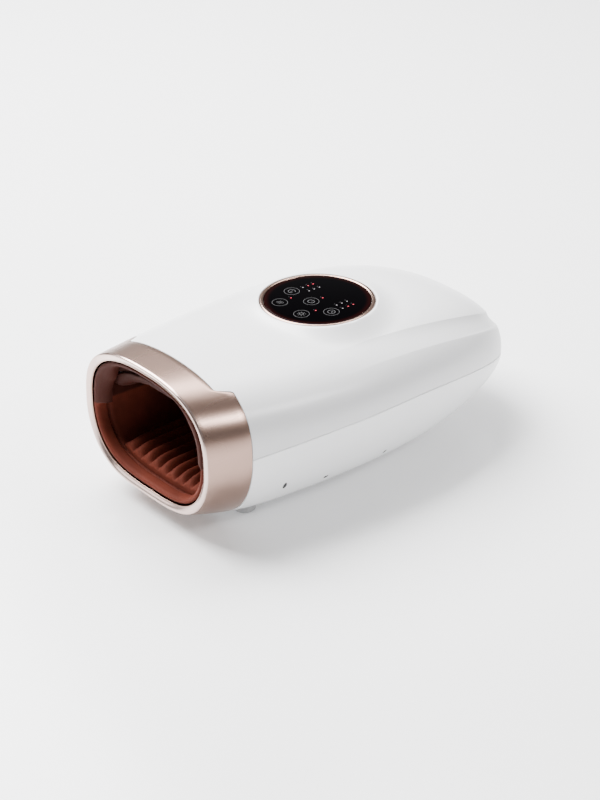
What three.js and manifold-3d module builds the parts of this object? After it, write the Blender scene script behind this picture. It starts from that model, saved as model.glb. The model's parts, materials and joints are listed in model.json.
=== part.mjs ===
// Table-top air-compression hand massager: a hand goes in at the mouth, lies on a ribbed
// heated floor and is pressed from above by two cushions that air bladders push down.
// Millimetres, +Z up, +Y towards the tail, mouth at -Y, feet on z = 0.
// Inside the group "body frame" y runs from the mouth (0) to the tail and z from the case floor.
import * as THREE from 'three';
import { mergeVertices } from 'three/addons/utils/BufferGeometryUtils.js';
import Module from 'manifold-3d';

const wasm = await Module();
wasm.setup();

// Case: overall size and the curves of its plan, roof, floor and parting line
const bodyLength = 280;
const mouthHalfWidth = 60.7;
const bodyHalfWidth = 80;
const widestAt = 128;
const flarePower = 1.7;
const tailPower = 2.52;
const roofMouth = 101.5;
const roofCrown = 98.3;
const roofTail = 85;
const roofCrownAt = 156.6;
const floorMouthRise = 11.4;
const floorMouthRun = 60;
const floorTailRise = 14;
const floorTailFrom = 159;
const partingMouth = 53;
const partingCrown = 59;
const partingTail = 34.5;
const partingCrownAt = 140;
const sectionSettlesAt = 100;
const roofFullness = { mouth: 2.44, body: 2.61 };
const roofShoulder = { mouth: 2.99, body: 2.39 };
const bellyFullness = { mouth: 3.62, body: 3.6 };
const bellyShoulder = { mouth: 1.83, body: 2.07 };
const wall = 2.8;
const splitGap = 0.3;
const fitGap = 0.3;
const cutOver = 6;
const quarterTurn = 90;
const weldDistance = 1e-5;

// Creases pressed into the upper case, as shares of the half width
const innerCreaseShare = 0.63;
const innerCreaseGrowthShare = 0.33;
const innerCreaseFrom = 110;
const outerCreaseShare = 0.836;
const outerCreaseGrowthShare = 0.15;
const creaseDepth = 1.5;
const creaseFrom = 70;
const creaseFull = 215;
const creaseRadius = 0.8;
const creaseStepShare = 0.15;
const innerCreaseBend = 2.2;
const outerCreaseBend = 1.35;

// Tongue and rebate that lock the two case halves along the parting line
const tongueHeight = 2;
const tongueOuterInset = 1.6;
const tongueClear = 0.3;

// Mouth trim, its lip and the tongue of white case that runs forward on top
const trimDepth = 30;
const trimWall = 2.4;
const trimRound = 1.2;
const trimRoundShares = [0.75, 0.22];
const lipWidth = 5.2;
const lipSlope = 2.6;
const lipFall = 1.3;
const lipDepth = 5;
const hornReach = 2.3;
const tongueReach = 7.6;
const tongueArch = 1;
const tongueHalfWidth = 48;
const tongueSweep = 7;
const neckFront = 14;
const neckRear = 35;
const neckWall = 1.6;
const neckClear = 0.3;

// Hand chamber: its section at the mouth follows the lip, and narrows towards its end
const tailRoom = 100;
const chamberDepth = bodyLength - tailRoom;
const linerFront = 1.6;
const linerLipGap = 0.4;
const linerWall = 1.6;
const bandDepth = 9;
const bandStep = 1.6;
const linerEdgeHeight = 68;
const chamberEndHalfWidth = 47;
const chamberRoofFall = 12.2;
const chamberEndFloor = 18;
const chamberEndMid = 50;

// Frames that hold the lining: lower cradle and upper deck
const frameFront = 36;
const frameWall = 2;
const frameClear = 1.2;
const frameSplitHeight = 64;
const frameLegWidth = 16;
const frameLegDepth = 4;
const frameLegSpread = 26;
const frameLegShares = [0.29, 0.61, 0.92];

// Heating film under the lining
const filmThickness = 0.5;
const filmHalfWidth = 34;
const filmFront = 44;
const filmEndGap = 12;
const filmRear = chamberDepth - filmEndGap;

// Ribbed floor pad
const padFront = 12;
const padEndGap = 4;
const padRear = chamberDepth - padEndGap;
const padHalfWidth = 38;
const padThickness = 6;
const ribCount = 9;
const ribHeight = 4.5;
const ribRun = 12;
const ribRunShares = [0, 0.1, 0.35, 1];
const padMiddleShares = [0.4, 0.7];
const padRimShare = 0.25;
const padRunShare = 0.4;
const padRoundness = 6;
const ribSharpness = 0.8;
const ribSteps = 4;
const padClear = 0.4;

// Two press cushions and their bladders
const cushionFront = 12;
const cushionSplitShare = 0.52;
const cushionEndGap = 3;
const cushionRear = chamberDepth - cushionEndGap;
const cushionSplit = cushionFront + (cushionRear - cushionFront) * cushionSplitShare;
const cushionGap = 2;
const cushionSideClear = 1.6;
const cushionEdgeHeight = 66;
const cushionEdgeFall = 10;
const cushionThickness = 10;
const cushionEndRound = 7;
const cushionEndShares = [0, 0.12, 0.4, 1];
const cushionEndPlumpShare = 0.35;
const cushionSteps = 20;
const cushionChannelDepth = 2;
const cushionChannelSpread = 13;
const cushionChannelWidth = 3;
const bladderThickness = 8;
const bladderHalfWidth = 40;
const bladderClear = 0.8;
const bladderSeam = 5;
const bladderSeamShare = 0.8;

// Round touch panel on its raised collar
const panelCentre = 140;
const panelRise = 2.7;
const glassRadius = 34.2;
const glassSink = 0.4;
const ringWidth = 3;
const ringHeight = 3;
const ringChamfer = 0.6;
const collarTopWidth = 1.6;
const collarRun = 15;
const collarShares = [0, 0.15, 0.4, 0.7, 1];
const collarPower = 2.2;
const panelWindowRadius = 30;
const panelSeatThickness = 2.2;
const touchBoardRadius = 33;
const touchChipSize = 9;
const touchChipHeight = 1.2;
const keySpread = 16;
const keyStep = 11;
const keyWellRadius = 3.5;

// Feet, case screws and the posts they pull together
const footRadius = 7;
const footStand = 2;
const footSink = 2.2;
const footSpread = 34;
const footFrontAt = 50;
const footTailGap = 94;
const footRearAt = bodyLength - footTailGap;
const footChamfer = 0.6;
const screwFrontAt = 56;
const screwFrontInset = 6.7;
const screwMiddleAt = 136;
const screwMiddleInset = 11;
const screwTailGap = 22;
const screwRearSpread = 20;
const screwRadius = 1.5;
const screwHeadRadius = 2.8;
const screwHeadHeight = 1.8;
const screwLength = 18;
const screwSeatDrop = 8;
const postRadius = 4.2;
const postBoreClear = 0.25;
const pitAt = 89;
const pitInset = 10.9;
const pitRadius = 1.4;
const pitDepth = 1.2;

// Air pump: motor, crank, wobble plate, diaphragm and head, on a line along Y
const pumpSideRoom = 44;
const pumpX = pumpSideRoom - bodyHalfWidth;
const pumpZ = 41;
const pumpGap = 10;
const pumpFront = chamberDepth + pumpGap;
const motorRadius = 12.2;
const motorLength = 26;
const motorFlat = 10;
const motorBossRadius = 3;
const motorBossLength = 1.2;
const motorBoreDepth = 6;
const terminalWidth = 2;
const terminalReach = 3;
const terminalSpread = 6;
const shaftRadius = 1;
const crankRadius = 4;
const crankThickness = 3;
const crankStart = 2.4;
const crankBoreDepth = 2;
const crankPinRadius = 0.8;
const wobbleCentre = 12;
const wobbleLean = 0.14;
const housingRadius = 14;
const housingWall = 1.8;
const housingLength = 17.9;
const housingEyeRadius = 6;
const wobbleHubRadius = 3;
const wobbleHubLength = 4.4;
const wobbleThickness = 1.8;
const wobbleArmReach = 9.5;
const wobbleArmWidth = 5;
const cupCount = 3;
const cupRadius = 4;
const cupDepth = 3.2;
const cupWall = 0.9;
const diaphragmThickness = 1.2;
const valvePlateThickness = 1.6;
const valveHoleRadius = 1.2;
const headThickness = 7;
const nozzleBore = 0.7;
const nozzleLength = 6;
const saddleWidth = 22;
const saddleLength = 16;
const saddleWrap = 5;

// Battery tray with two cells and the main board on its pillars
const cellRadius = 9.2;
const cellLength = 50;
const cellZ = 31;
const cellGap = 19.5;
const cellFront = chamberDepth + cellGap;
const cellPitch = 19.4;
const cellCapRadius = 3;
const cellCapHeight = 1;
const trayWall = 2;
const trayLip = 7;
const trayClear = 0.4;
const trayPumpGap = 1;
const pillarSize = 3;
const mainBoardZ = 42;
const boardThickness = 1.6;
const chipSize = 12;
const chipHeight = 2;
const chipShare = 0.25;
const capacitorRadius = 3;
const capacitorHeight = 8;

// Air manifold with two exhaust valves
const manifoldWidth = 46;
const manifoldDepth = 9;
const manifoldHeight = 14;
const manifoldZ = 62;
const valveSpread = 12;
const valveRadius = 7;
const valveLength = 20;
const plungerRadius = 2.6;
const plungerClear = 0.3;
const plungerLength = 14;
const plungerReach = 2.5;
const plungerStroke = 1.5;
const springWire = 0.35;
const springTurns = 3;
const springSteps = 7;
const springSides = 4;
const springClear = 0.3;

// Hoses and the elbows that they push onto
const hoseRadius = 2.6;
const hoseBore = 1.8;
const hoseSteps = 14;
const hoseSides = 6;
const elbowRadius = 2.6;
const spigotRadius = 1.3;
const spigotLength = 4;
const elbowSpread = 38;
const elbowOffset = 28;
const handElbowAt = cushionSplit - elbowOffset;
const fingerElbowAt = cushionSplit + cushionGap + elbowOffset;
const hoseRoofClear = 1.1;
const manifoldElbowSpread = 14;
const manifoldElbowRise = 3.5;
const ribbonWidth = 6;
const ribbonThickness = 0.8;
const ribbonEndGap = 14.5;
const ribbonEndAt = cellFront + ribbonEndGap;
const hoseSideRoom = 34;
const hoseShoulder = bodyHalfWidth - hoseSideRoom;
const hoseLead = 8;
const hoseSideClear = 1.3;
const hoseTurn = 10;
const hosePitch = 40;
const hoseRiseShare = 0.6;
const hoseHeightShare = 0.75;
const hoseLeadShares = [0, 0.5, 1];
const ribbonFallShares = [0.8, 0.45];
const ribbonSteps = 20;

// Charging socket in the tail, above the parting line
const socketZ = 42;
const socketRadius = 4.8;
const socketBore = 3.4;
const socketBoreDepth = 9;
const socketLength = 12;
const socketFlangeRadius = 6.4;
const socketFlangeThickness = 1.6;
const socketRecess = 4.5;

// How finely curved faces are divided
const sectionSteps = 40;
const frameSteps = 32;
const roundSteps = 32;
const collarSteps = 40;
const outerFineness = { side: 11, tail: 20 };
const innerFineness = { side: 7, tail: 14 };
const partingSteps = 14;
const sweepSteps = 8;
const canSteps = 24;
const probeShare = 0.004;
const edgeShares = [0.45, 0.75, 0.92, 1];
const roofShares = [0, 0.35, 0.65, 0.88];
const plainShares = [0, 0.3, 0.55, 0.75, 0.88, 0.95, 0.985, 1];
const gatherPower = 0.8;
const smallSteps = 16;
const postSteps = 12;
const boreSteps = 8;

const finish = {
  white: { color: 0xeeeff0, roughness: 0.32, metalness: 0 },
  roseGold: { color: 0xc3a59c, roughness: 0.3, metalness: 0.85 },
  lining: { color: 0x874b3c, roughness: 0.75, metalness: 0 },
  glass: { color: 0x0a0a0e, roughness: 0.08, metalness: 0 },
  frame: { color: 0xd9dadb, roughness: 0.5, metalness: 0 },
  rubber: { color: 0x3a3a3c, roughness: 0.8, metalness: 0 },
  paleRubber: { color: 0xb9bbbd, roughness: 0.75, metalness: 0 },
  steel: { color: 0xb8babd, roughness: 0.35, metalness: 1 },
  black: { color: 0x1c1c1e, roughness: 0.5, metalness: 0 },
  film: { color: 0xb06a2c, roughness: 0.4, metalness: 0.1 },
  bladder: { color: 0xd8d6cf, roughness: 0.45, metalness: 0 },
  board: { color: 0x1f5a38, roughness: 0.5, metalness: 0 },
  cell: { color: 0x2f6fae, roughness: 0.35, metalness: 0.1 },
  guide: { color: 0xf4f4f2, roughness: 0.4, metalness: 0 },
  hose: { color: 0xe2e4e6, roughness: 0.35, metalness: 0 },
};

const object = new THREE.Group();
const bodyFrame = new THREE.Group();
bodyFrame.position.set(0, -bodyLength / 2, footStand);
object.add(bodyFrame);

// Small tools: solids from geometry, geometry from solids, and placing
function solid(geometry) {
  const bare = geometry.clone();
  for (const name of Object.keys(bare.attributes)) {
    if (name !== 'position') bare.deleteAttribute(name);
  }
  const merged = mergeVertices(bare, weldDistance);
  const index = merged.index.array;
  const triangles = [];
  for (let i = 0; i < index.length; i += 3) {
    const [a, b, c] = [index[i], index[i + 1], index[i + 2]];
    if (a !== b && b !== c && c !== a) triangles.push(a, b, c);
  }
  const mesh = new wasm.Mesh({
    numProp: 3,
    vertProperties: new Float32Array(merged.attributes.position.array),
    triVerts: new Uint32Array(triangles),
  });
  return new wasm.Manifold(mesh);
}

function geometryOf(manifold) {
  const mesh = manifold.getMesh();
  const geometry = new THREE.BufferGeometry();
  const positions = new Float32Array(mesh.vertProperties);
  geometry.setAttribute('position', new THREE.BufferAttribute(positions, 3));
  geometry.setIndex(new THREE.BufferAttribute(new Uint32Array(mesh.triVerts), 1));
  geometry.computeVertexNormals();
  return geometry;
}

function addPiece(name, shape, look, parent = bodyFrame) {
  const geometry = shape.isBufferGeometry ? shape : geometryOf(shape);
  const mesh = new THREE.Mesh(geometry, new THREE.MeshStandardMaterial(finish[look]));
  mesh.name = name;
  parent.add(mesh);
  return mesh;
}

function meshFrom(points, triangles) {
  const geometry = new THREE.BufferGeometry();
  geometry.setAttribute('position', new THREE.Float32BufferAttribute(points.flat(), 3));
  geometry.setIndex(triangles);
  return geometry;
}

function block(width, depth, height, x = 0, y = 0, z = 0) {
  return solid(new THREE.BoxGeometry(width, depth, height).translate(x, y, z));
}

// An upright rod with its foot at z
function rod(radius, height, x = 0, y = 0, z = 0, steps = smallSteps) {
  const geometry = new THREE.CylinderGeometry(radius, radius, height, steps);
  geometry.rotateX(Math.PI / 2).translate(x, y, z + height / 2);
  return solid(geometry);
}

// A rod along +Y that starts at y
function rodY(radius, length, x = 0, y = 0, z = 0, steps = smallSteps) {
  const geometry = new THREE.CylinderGeometry(radius, radius, length, steps);
  return solid(geometry.translate(x, y + length / 2, z));
}

// A turned piece about +Z: the profile is [radius, height] pairs, listed counter-clockwise
function turned(profile, steps = roundSteps) {
  const points = profile.map(([r, z]) => new THREE.Vector2(r, z));
  const geometry = new THREE.LatheGeometry(points, steps);
  return solid(geometry.rotateX(Math.PI / 2));
}

// A plan outline of [x, y] pairs raised between two heights
function raised(outline, low, high) {
  const shape = new THREE.Shape(outline.map(([x, y]) => new THREE.Vector2(x, y)));
  const geometry = new THREE.ExtrudeGeometry(shape, { depth: high - low, bevelEnabled: false });
  return solid(geometry.translate(0, 0, low));
}

// A side outline of [y, z] pairs drawn across between two x values
function across(outline, left, right) {
  const shape = new THREE.Shape(outline.map(([y, z]) => new THREE.Vector2(y, z)));
  const geometry = new THREE.ExtrudeGeometry(shape, { depth: right - left, bevelEnabled: false });
  const turn = new THREE.Matrix4().makeBasis(
    new THREE.Vector3(0, 1, 0),
    new THREE.Vector3(0, 0, 1),
    new THREE.Vector3(1, 0, 0),
  );
  return solid(geometry.applyMatrix4(turn).translate(left, 0, 0));
}

// A closed skin through rings of equally many points, each ring counter-clockwise seen from
// the last ring's end, with its ends closed by fans
function skin(rings) {
  const points = rings.flat();
  const count = rings[0].length;
  const triangles = [];
  for (let r = 0; r + 1 < rings.length; r += 1) {
    for (let i = 0; i < count; i += 1) {
      const j = (i + 1) % count;
      const [a, b, c, d] = [r * count + i, r * count + j, (r + 1) * count + j, (r + 1) * count + i];
      triangles.push(a, c, b, a, d, c);
    }
  }
  capEnd(points, triangles, rings[0], 0, true);
  capEnd(points, triangles, rings[rings.length - 1], (rings.length - 1) * count, false);
  return meshFrom(points, triangles);
}

// Closes a flat ring that lies across Y, at the start or at the end of a skin
function capEnd(points, triangles, ring, first, start) {
  const contour = ring.map(([x, , z]) => new THREE.Vector2(x, z));
  const ordered = start === THREE.ShapeUtils.area(contour) > 0;
  for (const [a, b, c] of THREE.ShapeUtils.triangulateShape(contour, [])) {
    const flip = ordered !== THREE.ShapeUtils.area([contour[a], contour[b], contour[c]]) > 0;
    triangles.push(first + a, first + (flip ? c : b), first + (flip ? b : c));
  }
}

function range(count, make) {
  return Array.from({ length: count }, (_, i) => make(i));
}

function between(a, b, share) {
  return a + (b - a) * share;
}

function ease(low, high, value) {
  return THREE.MathUtils.smoothstep(value, low, high);
}

// Case form
function halfWidthAt(y) {
  if (y >= widestAt) return bodyHalfWidth;
  return bodyHalfWidth + (mouthHalfWidth - bodyHalfWidth) * ((widestAt - y) / widestAt) ** flarePower;
}

// Half width of the plan outline, round the tail as well
function outlineAt(y) {
  const run = Math.max(0, (y - widestAt) / (bodyLength - widestAt));
  return halfWidthAt(y) * (1 - run ** tailPower) ** (1 / tailPower);
}

function crowned(y, mouth, crown, tail, crownAt) {
  if (y < crownAt) return crown + (mouth - crown) * ((crownAt - y) / crownAt) ** 2;
  return crown + (tail - crown) * ((y - crownAt) / (bodyLength - crownAt)) ** 2;
}

function roofAt(y) {
  return crowned(y, roofMouth, roofCrown, roofTail, roofCrownAt);
}

function partingAt(y) {
  return crowned(y, partingMouth, partingCrown, partingTail, partingCrownAt);
}

function floorAt(y) {
  const front = Math.max(0, (floorMouthRun - y) / floorMouthRun);
  const rear = Math.max(0, (y - floorTailFrom) / (bodyLength - floorTailFrom));
  return floorMouthRise * front ** 2 + floorTailRise * rear ** 2;
}

function settled(pair, y) {
  return between(pair.mouth, pair.body, Math.min(1, Math.max(0, y / sectionSettlesAt)));
}

// Height of the case over a place that lies at a share of the way out from the spine
function heightAt(y, share, upper, inset) {
  const split = partingAt(y);
  if (upper) {
    const fall = (1 - share ** settled(roofFullness, y)) ** (1 / settled(roofShoulder, y));
    return split + (roofAt(y) - inset - split) * fall;
  }
  const fall = (1 - share ** settled(bellyFullness, y)) ** (1 / settled(bellyShoulder, y));
  return split - (split - floorAt(y) - inset) * fall;
}

// A station is a place round the plan outline: along a side up to the widest point, then
// by angle round the tail. reach is how far along the outline it lies, from the mouth.
function stationPoint(station, share, upper, inset) {
  if (station.angle === undefined) {
    const x = station.side * share * (halfWidthAt(station.y) - inset);
    return [x, station.y, heightAt(station.y, share, upper, inset)];
  }
  const cosine = Math.cos(station.angle);
  const x = Math.sign(cosine) * share * (bodyHalfWidth - inset) * Math.abs(cosine) ** (2 / tailPower);
  const tailLength = bodyLength - inset - widestAt;
  const y = widestAt + share * tailLength * Math.sin(station.angle) ** (2 / tailPower);
  return [x, y, heightAt(y, share, upper, inset)];
}

function stationReach(station) {
  if (station.angle === undefined) return station.y;
  return widestAt + (bodyLength - widestAt) * Math.sin(station.angle) ** (2 / tailPower);
}

function innerCreaseAt(reach) {
  const run = Math.max(0, (reach - innerCreaseFrom) / (bodyLength - innerCreaseFrom));
  return innerCreaseShare + innerCreaseGrowthShare * run ** innerCreaseBend;
}

function outerCreaseAt(reach) {
  const run = Math.max(0, (reach - widestAt) / (bodyLength - widestAt));
  return outerCreaseShare + outerCreaseGrowthShare * run ** outerCreaseBend;
}

// The lines of the upper case, each a share from the spine and how far it is pressed in. The
// band between the creases deepens outwards, and the side wall stands proud of it.
function upperLines(station) {
  const reach = stationReach(station);
  const half = creaseRadius / bodyHalfWidth;
  const [inner, outer] = [innerCreaseAt(reach), outerCreaseAt(reach)];
  const lines = roofShares.map((part) => ({ share: part * (inner - half), sunk: 0 }));
  lines.push({ share: inner - half, sunk: 0 }, { share: inner + half, sunk: creaseStepShare });
  lines.push({ share: (inner + outer) / 2, sunk: (1 + creaseStepShare) / 2 });
  lines.push({ share: outer - half, sunk: 1 }, { share: outer + half, sunk: 0 });
  for (const part of edgeShares) lines.push({ share: between(outer + half, 1, part), sunk: 0 });
  return lines;
}

// Moves a point of the upper case inwards along the surface's own normal
function sunkPoint(station, share, depth) {
  const here = new THREE.Vector3(...stationPoint(station, share, true, 0));
  const out = new THREE.Vector3(...stationPoint(station, share + probeShare, true, 0));
  const y = here.y;
  const probe = bodyLength * probeShare;
  const along = new THREE.Vector3(0, 2 * probe, roofAt(y + probe) - roofAt(y - probe));
  if (station.angle !== undefined) {
    const next = { angle: station.angle + (station.angle < 1 ? probeShare : -probeShare) };
    along.set(...stationPoint(next, share, true, 0)).sub(here);
  }
  const normal = out.sub(here).cross(along).normalize();
  if (normal.z < 0) normal.negate();
  here.addScaledVector(normal, -depth);
  return here.toArray();
}

function sideStations(ys, tailSteps) {
  const left = ys.map((y) => ({ y, side: -1 }));
  const tail = range(tailSteps + 1, (i) => ({ angle: Math.PI * (1 - i / tailSteps) }));
  const right = ys.map((y) => ({ y, side: 1 })).reverse();
  return { left, tail, right };
}

// The case above or below its parting line as one closed solid. It is drawn in by an inset,
// and its rim lies a little off the parting line. The outer upper one carries the creases.
function halfCase(upper, inset, rim, front, fineness, creased = false) {
  const ys = range(fineness.side, (i) => between(front, widestAt, i / fineness.side));
  const { left, tail, right } = sideStations(ys, fineness.tail);
  const stations = [...left, ...tail, ...right];
  const rows = stations.map((station) => caseRow(station, upper, inset, rim, creased));
  const points = [];
  const triangles = [];
  addGrid(points, triangles, rows, upper);
  const spine = stations.map((station) => {
    const y = station.angle === undefined ? station.y : widestAt;
    return [0, y, partingAt(y) + rim];
  });
  addGrid(points, triangles, rows.map((row, i) => [row[row.length - 1], spine[i]]), upper);
  const mouth = [...rows[0]].reverse().concat(rows[rows.length - 1].slice(1));
  const first = points.length;
  points.push(spine[0], ...mouth);
  for (let i = 1; i < mouth.length; i += 1) {
    if (upper) triangles.push(first, first + i + 1, first + i);
    else triangles.push(first, first + i, first + i + 1);
  }
  return solid(meshFrom(points, triangles));
}

// One row of points from the spine out to the rim
function caseRow(station, upper, inset, rim, creased) {
  const plain = plainShares.map((share) => ({ share, sunk: 0 }));
  const lines = upper && creased ? upperLines(station) : plain;
  const depth = creaseDepth * ease(creaseFrom, creaseFull, stationReach(station));
  const row = lines.map((line) => {
    if (line.sunk > 0) return sunkPoint(station, line.share, depth * line.sunk);
    return stationPoint(station, line.share, upper, inset);
  });
  const edge = row[row.length - 1];
  const rimPoint = [edge[0], edge[1], partingAt(edge[1]) + rim];
  if (upper === rim > 0) row[row.length - 1] = rimPoint;
  else row.push(rimPoint);
  return row;
}

function addGrid(points, triangles, rows, upper) {
  const first = points.length;
  const width = rows[0].length;
  for (const row of rows) points.push(...row);
  for (let r = 0; r + 1 < rows.length; r += 1) {
    for (let i = 0; i + 1 < width; i += 1) {
      const a = first + r * width + i;
      const [b, c, d] = [a + 1, a + width + 1, a + width];
      if (upper) triangles.push(a, c, b, a, d, c);
      else triangles.push(a, b, c, a, c, d);
    }
  }
}

// An upright strip that follows the parting line between two insets
function rimStrip(outerInset, innerInset, height) {
  const ys = range(innerFineness.side, (i) => between(neckRear, widestAt, i / innerFineness.side));
  const { left, tail, right } = sideStations(ys, innerFineness.tail);
  const rings = [...left, ...tail, ...right].map((station) => {
    const [outer, inner] = [outerInset, innerInset].map((inset) => stationPoint(station, 1, true, inset));
    const [low, high] = [-height, height];
    return [[outer, low], [inner, low], [inner, high], [outer, high]].map(([point, rise]) => {
      return [point[0], point[1], partingAt(point[1]) + rise];
    });
  });
  return solid(skin(rings));
}

// A ring of the case's section at y, counter-clockwise seen from the front
function sectionRing(y, inset, steps, form = caseForm) {
  const ring = [];
  for (let i = 0; i < steps; i += 1) {
    const angle = (2 * Math.PI * i) / steps;
    ring.push(form(y, inset, angle));
  }
  return ring;
}

// Shares are spread by angle, so points gather where the section bends most
function caseForm(y, inset, angle) {
  const share = Math.abs(Math.cos(angle)) ** gatherPower;
  const upper = Math.sin(angle) >= 0;
  const x = Math.sign(Math.cos(angle)) * share * (halfWidthAt(y) - inset);
  return [x, y, heightAt(y, Math.min(1, share), upper, inset)];
}

function chamberSizes(y) {
  const share = y / chamberDepth;
  const inset = lipWidth + linerLipGap;
  return {
    half: between(mouthHalfWidth - inset, chamberEndHalfWidth, share),
    roof: roofAt(y) - inset - chamberRoofFall * share,
    floor: between(floorMouthRise + inset, chamberEndFloor, share),
    mid: between(partingMouth, chamberEndMid, share),
  };
}

function chamberHeight(y, x, upper, inset) {
  const { half, roof, floor, mid } = chamberSizes(y);
  const share = Math.min(1, Math.abs(x) / (half - inset));
  if (upper) {
    return mid + (roof - inset - mid) * (1 - share ** roofFullness.mouth) ** (1 / roofShoulder.mouth);
  }
  return mid - (mid - floor - inset) * (1 - share ** bellyFullness.mouth) ** (1 / bellyShoulder.mouth);
}

function chamberForm(y, inset, angle) {
  const share = Math.abs(Math.cos(angle)) ** gatherPower;
  const x = Math.sign(Math.cos(angle)) * share * (chamberSizes(y).half - inset);
  return [x, y, chamberHeight(y, x, Math.sin(angle) >= 0, inset)];
}

// A closed solid through sections at [y, inset] pairs
function sectionSolid(stops, form, steps) {
  return solid(skin(stops.map(([y, inset]) => sectionRing(y, inset, steps, form))));
}

// Everything above or below the parting line, moved up by a shift
function partingHalf(upper, shift) {
  const line = range(partingSteps + 1, (i) => {
    const y = -cutOver + ((bodyLength + 2 * cutOver) * i) / partingSteps;
    return [y, partingAt(y) + shift];
  });
  const far = upper ? roofMouth * 2 : -roofMouth;
  const outline = [...line, [bodyLength + cutOver, far], [-cutOver, far]];
  return across(outline, -bodyHalfWidth - cutOver, bodyHalfWidth + cutOver);
}

// Everything in front of the trim's rear edge. Each side leans back up to a horn, and an
// S-curve leads from there to the white tongue on top.
function trimSide(shift) {
  const outer = bodyHalfWidth + cutOver;
  const edge = trimDepth + shift;
  const sweep = range(sweepSteps + 1, (i) => {
    const share = i / sweepSteps;
    const x = tongueHalfWidth - tongueSweep * share;
    return [x, edge + hornReach - (hornReach + tongueReach) * ease(0, 1, share)];
  });
  const crown = [0, edge - tongueReach + tongueArch];
  const right = [[outer, edge], [halfWidthAt(trimDepth), edge], ...sweep];
  const left = right.map(([x, y]) => [-x, y]).reverse();
  const outline = [[-outer, -cutOver], [outer, -cutOver], ...right, crown, ...left];
  const above = raised(outline, partingAt(trimDepth), roofMouth + cutOver);
  const depth = edge + cutOver;
  const height = partingAt(trimDepth) + cutOver;
  return above.add(block(2 * outer, depth, height, 0, depth / 2 - cutOver, height / 2 - cutOver));
}

// White case: two moulded halves with posts, a neck for the trim and the panel collar
function uprights(radius, steps) {
  return wasm.Manifold.union(screwPlaces().map(([x, y]) => rod(radius, roofMouth, x, y, 0, steps)));
}

function screwPlaces() {
  const rows = [
    [outlineAt(screwFrontAt) - screwFrontInset, screwFrontAt],
    [outlineAt(screwMiddleAt) - screwMiddleInset, screwMiddleAt],
    [screwRearSpread, bodyLength - screwTailGap],
  ];
  return rows.flatMap(([x, y]) => [[-x, y], [x, y]]);
}

// Height of the case's underside over a plan place
function bellyAt(x, y, inset) {
  return heightAt(y, shareAt(x, y), false, inset);
}

function shareAt(x, y) {
  if (y < widestAt) return Math.abs(x) / halfWidthAt(y);
  const across = (Math.abs(x) / bodyHalfWidth) ** tailPower;
  const along = ((y - widestAt) / (bodyLength - widestAt)) ** tailPower;
  return (across + along) ** (1 / tailPower);
}

function roofOver(x, y) {
  return heightAt(y, shareAt(x, y), true, 0);
}

function screwSeatAt(y) {
  return partingAt(y) - screwSeatDrop;
}

function panelPlane() {
  return roofAt(panelCentre) + panelRise;
}

// Raised collar that swells out of the roof round the panel, with a flat shelf under its seat
function collarSolid() {
  const inner = glassRadius + ringWidth + collarTopWidth;
  const tops = collarShares.map((share) => range(collarSteps, (i) => {
    const angle = (2 * Math.PI * i) / collarSteps;
    const radius = inner + collarRun * share;
    const x = radius * Math.cos(angle);
    const y = panelCentre + radius * Math.sin(angle);
    const roof = roofOver(x, y) - splitGap * share;
    return [x, y, roof + (panelPlane() - roof) * (1 - share) ** collarPower];
  }));
  const lows = tops.map((ring) => ring.map(([x, y]) => {
    return [x, y, Math.min(roofOver(x, y) - wall / 2, shelfUnderside())];
  })).reverse();
  const rings = [...tops, ...lows];
  const points = rings.flat();
  const top = points.length;
  points.push([0, panelCentre, panelPlane()], [0, panelCentre, shelfUnderside()]);
  const last = top - collarSteps;
  const triangles = [];
  for (let i = 0; i < collarSteps; i += 1) {
    const j = (i + 1) % collarSteps;
    for (let row = 0; row < last; row += collarSteps) {
      const next = row + collarSteps;
      triangles.push(row + i, next + i, next + j, row + i, next + j, row + j);
    }
    triangles.push(top, i, j, top + 1, last + j, last + i);
  }
  return solid(meshFrom(points, triangles));
}

function panelSeatHeight() {
  return panelPlane() - ringHeight;
}

function shelfUnderside() {
  return panelSeatHeight() - panelSeatThickness - splitGap;
}

// Where the neck and the trim that slides over it share their sections
function neckStops(inset, overrun) {
  const middle = (neckFront + neckRear) / 2;
  return [[neckFront - overrun, inset], [middle, inset], [neckRear + overrun, inset]];
}

function neckRing() {
  const inset = trimWall + neckClear;
  const bore = sectionSolid(neckStops(inset + neckWall, cutOver), caseForm, sectionSteps);
  const rootStops = [trimDepth - tongueReach, neckRear].map((y) => [y, wall / 2]);
  const root = sectionSolid(rootStops, caseForm, sectionSteps);
  return sectionSolid(neckStops(inset, 0), caseForm, sectionSteps)
    .add(root.subtract(trimSide(splitGap)))
    .subtract(bore);
}

// One half of the case, with its neck and posts, before the details of either half
function plainHalf(upper) {
  const rim = upper ? splitGap / 2 : -splitGap / 2;
  const outer = halfCase(upper, 0, rim, 0, outerFineness, true);
  const inner = halfCase(upper, wall, -Math.sign(rim) * cutOver, -cutOver, innerFineness);
  const core = halfCase(upper, wall / 2, rim, 0, innerFineness);
  return outer.subtract(inner)
    .subtract(trimSide(splitGap))
    .add(neckRing().intersect(partingHalf(upper, 2 * rim)))
    .add(uprights(postRadius, postSteps).intersect(core));
}

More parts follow.
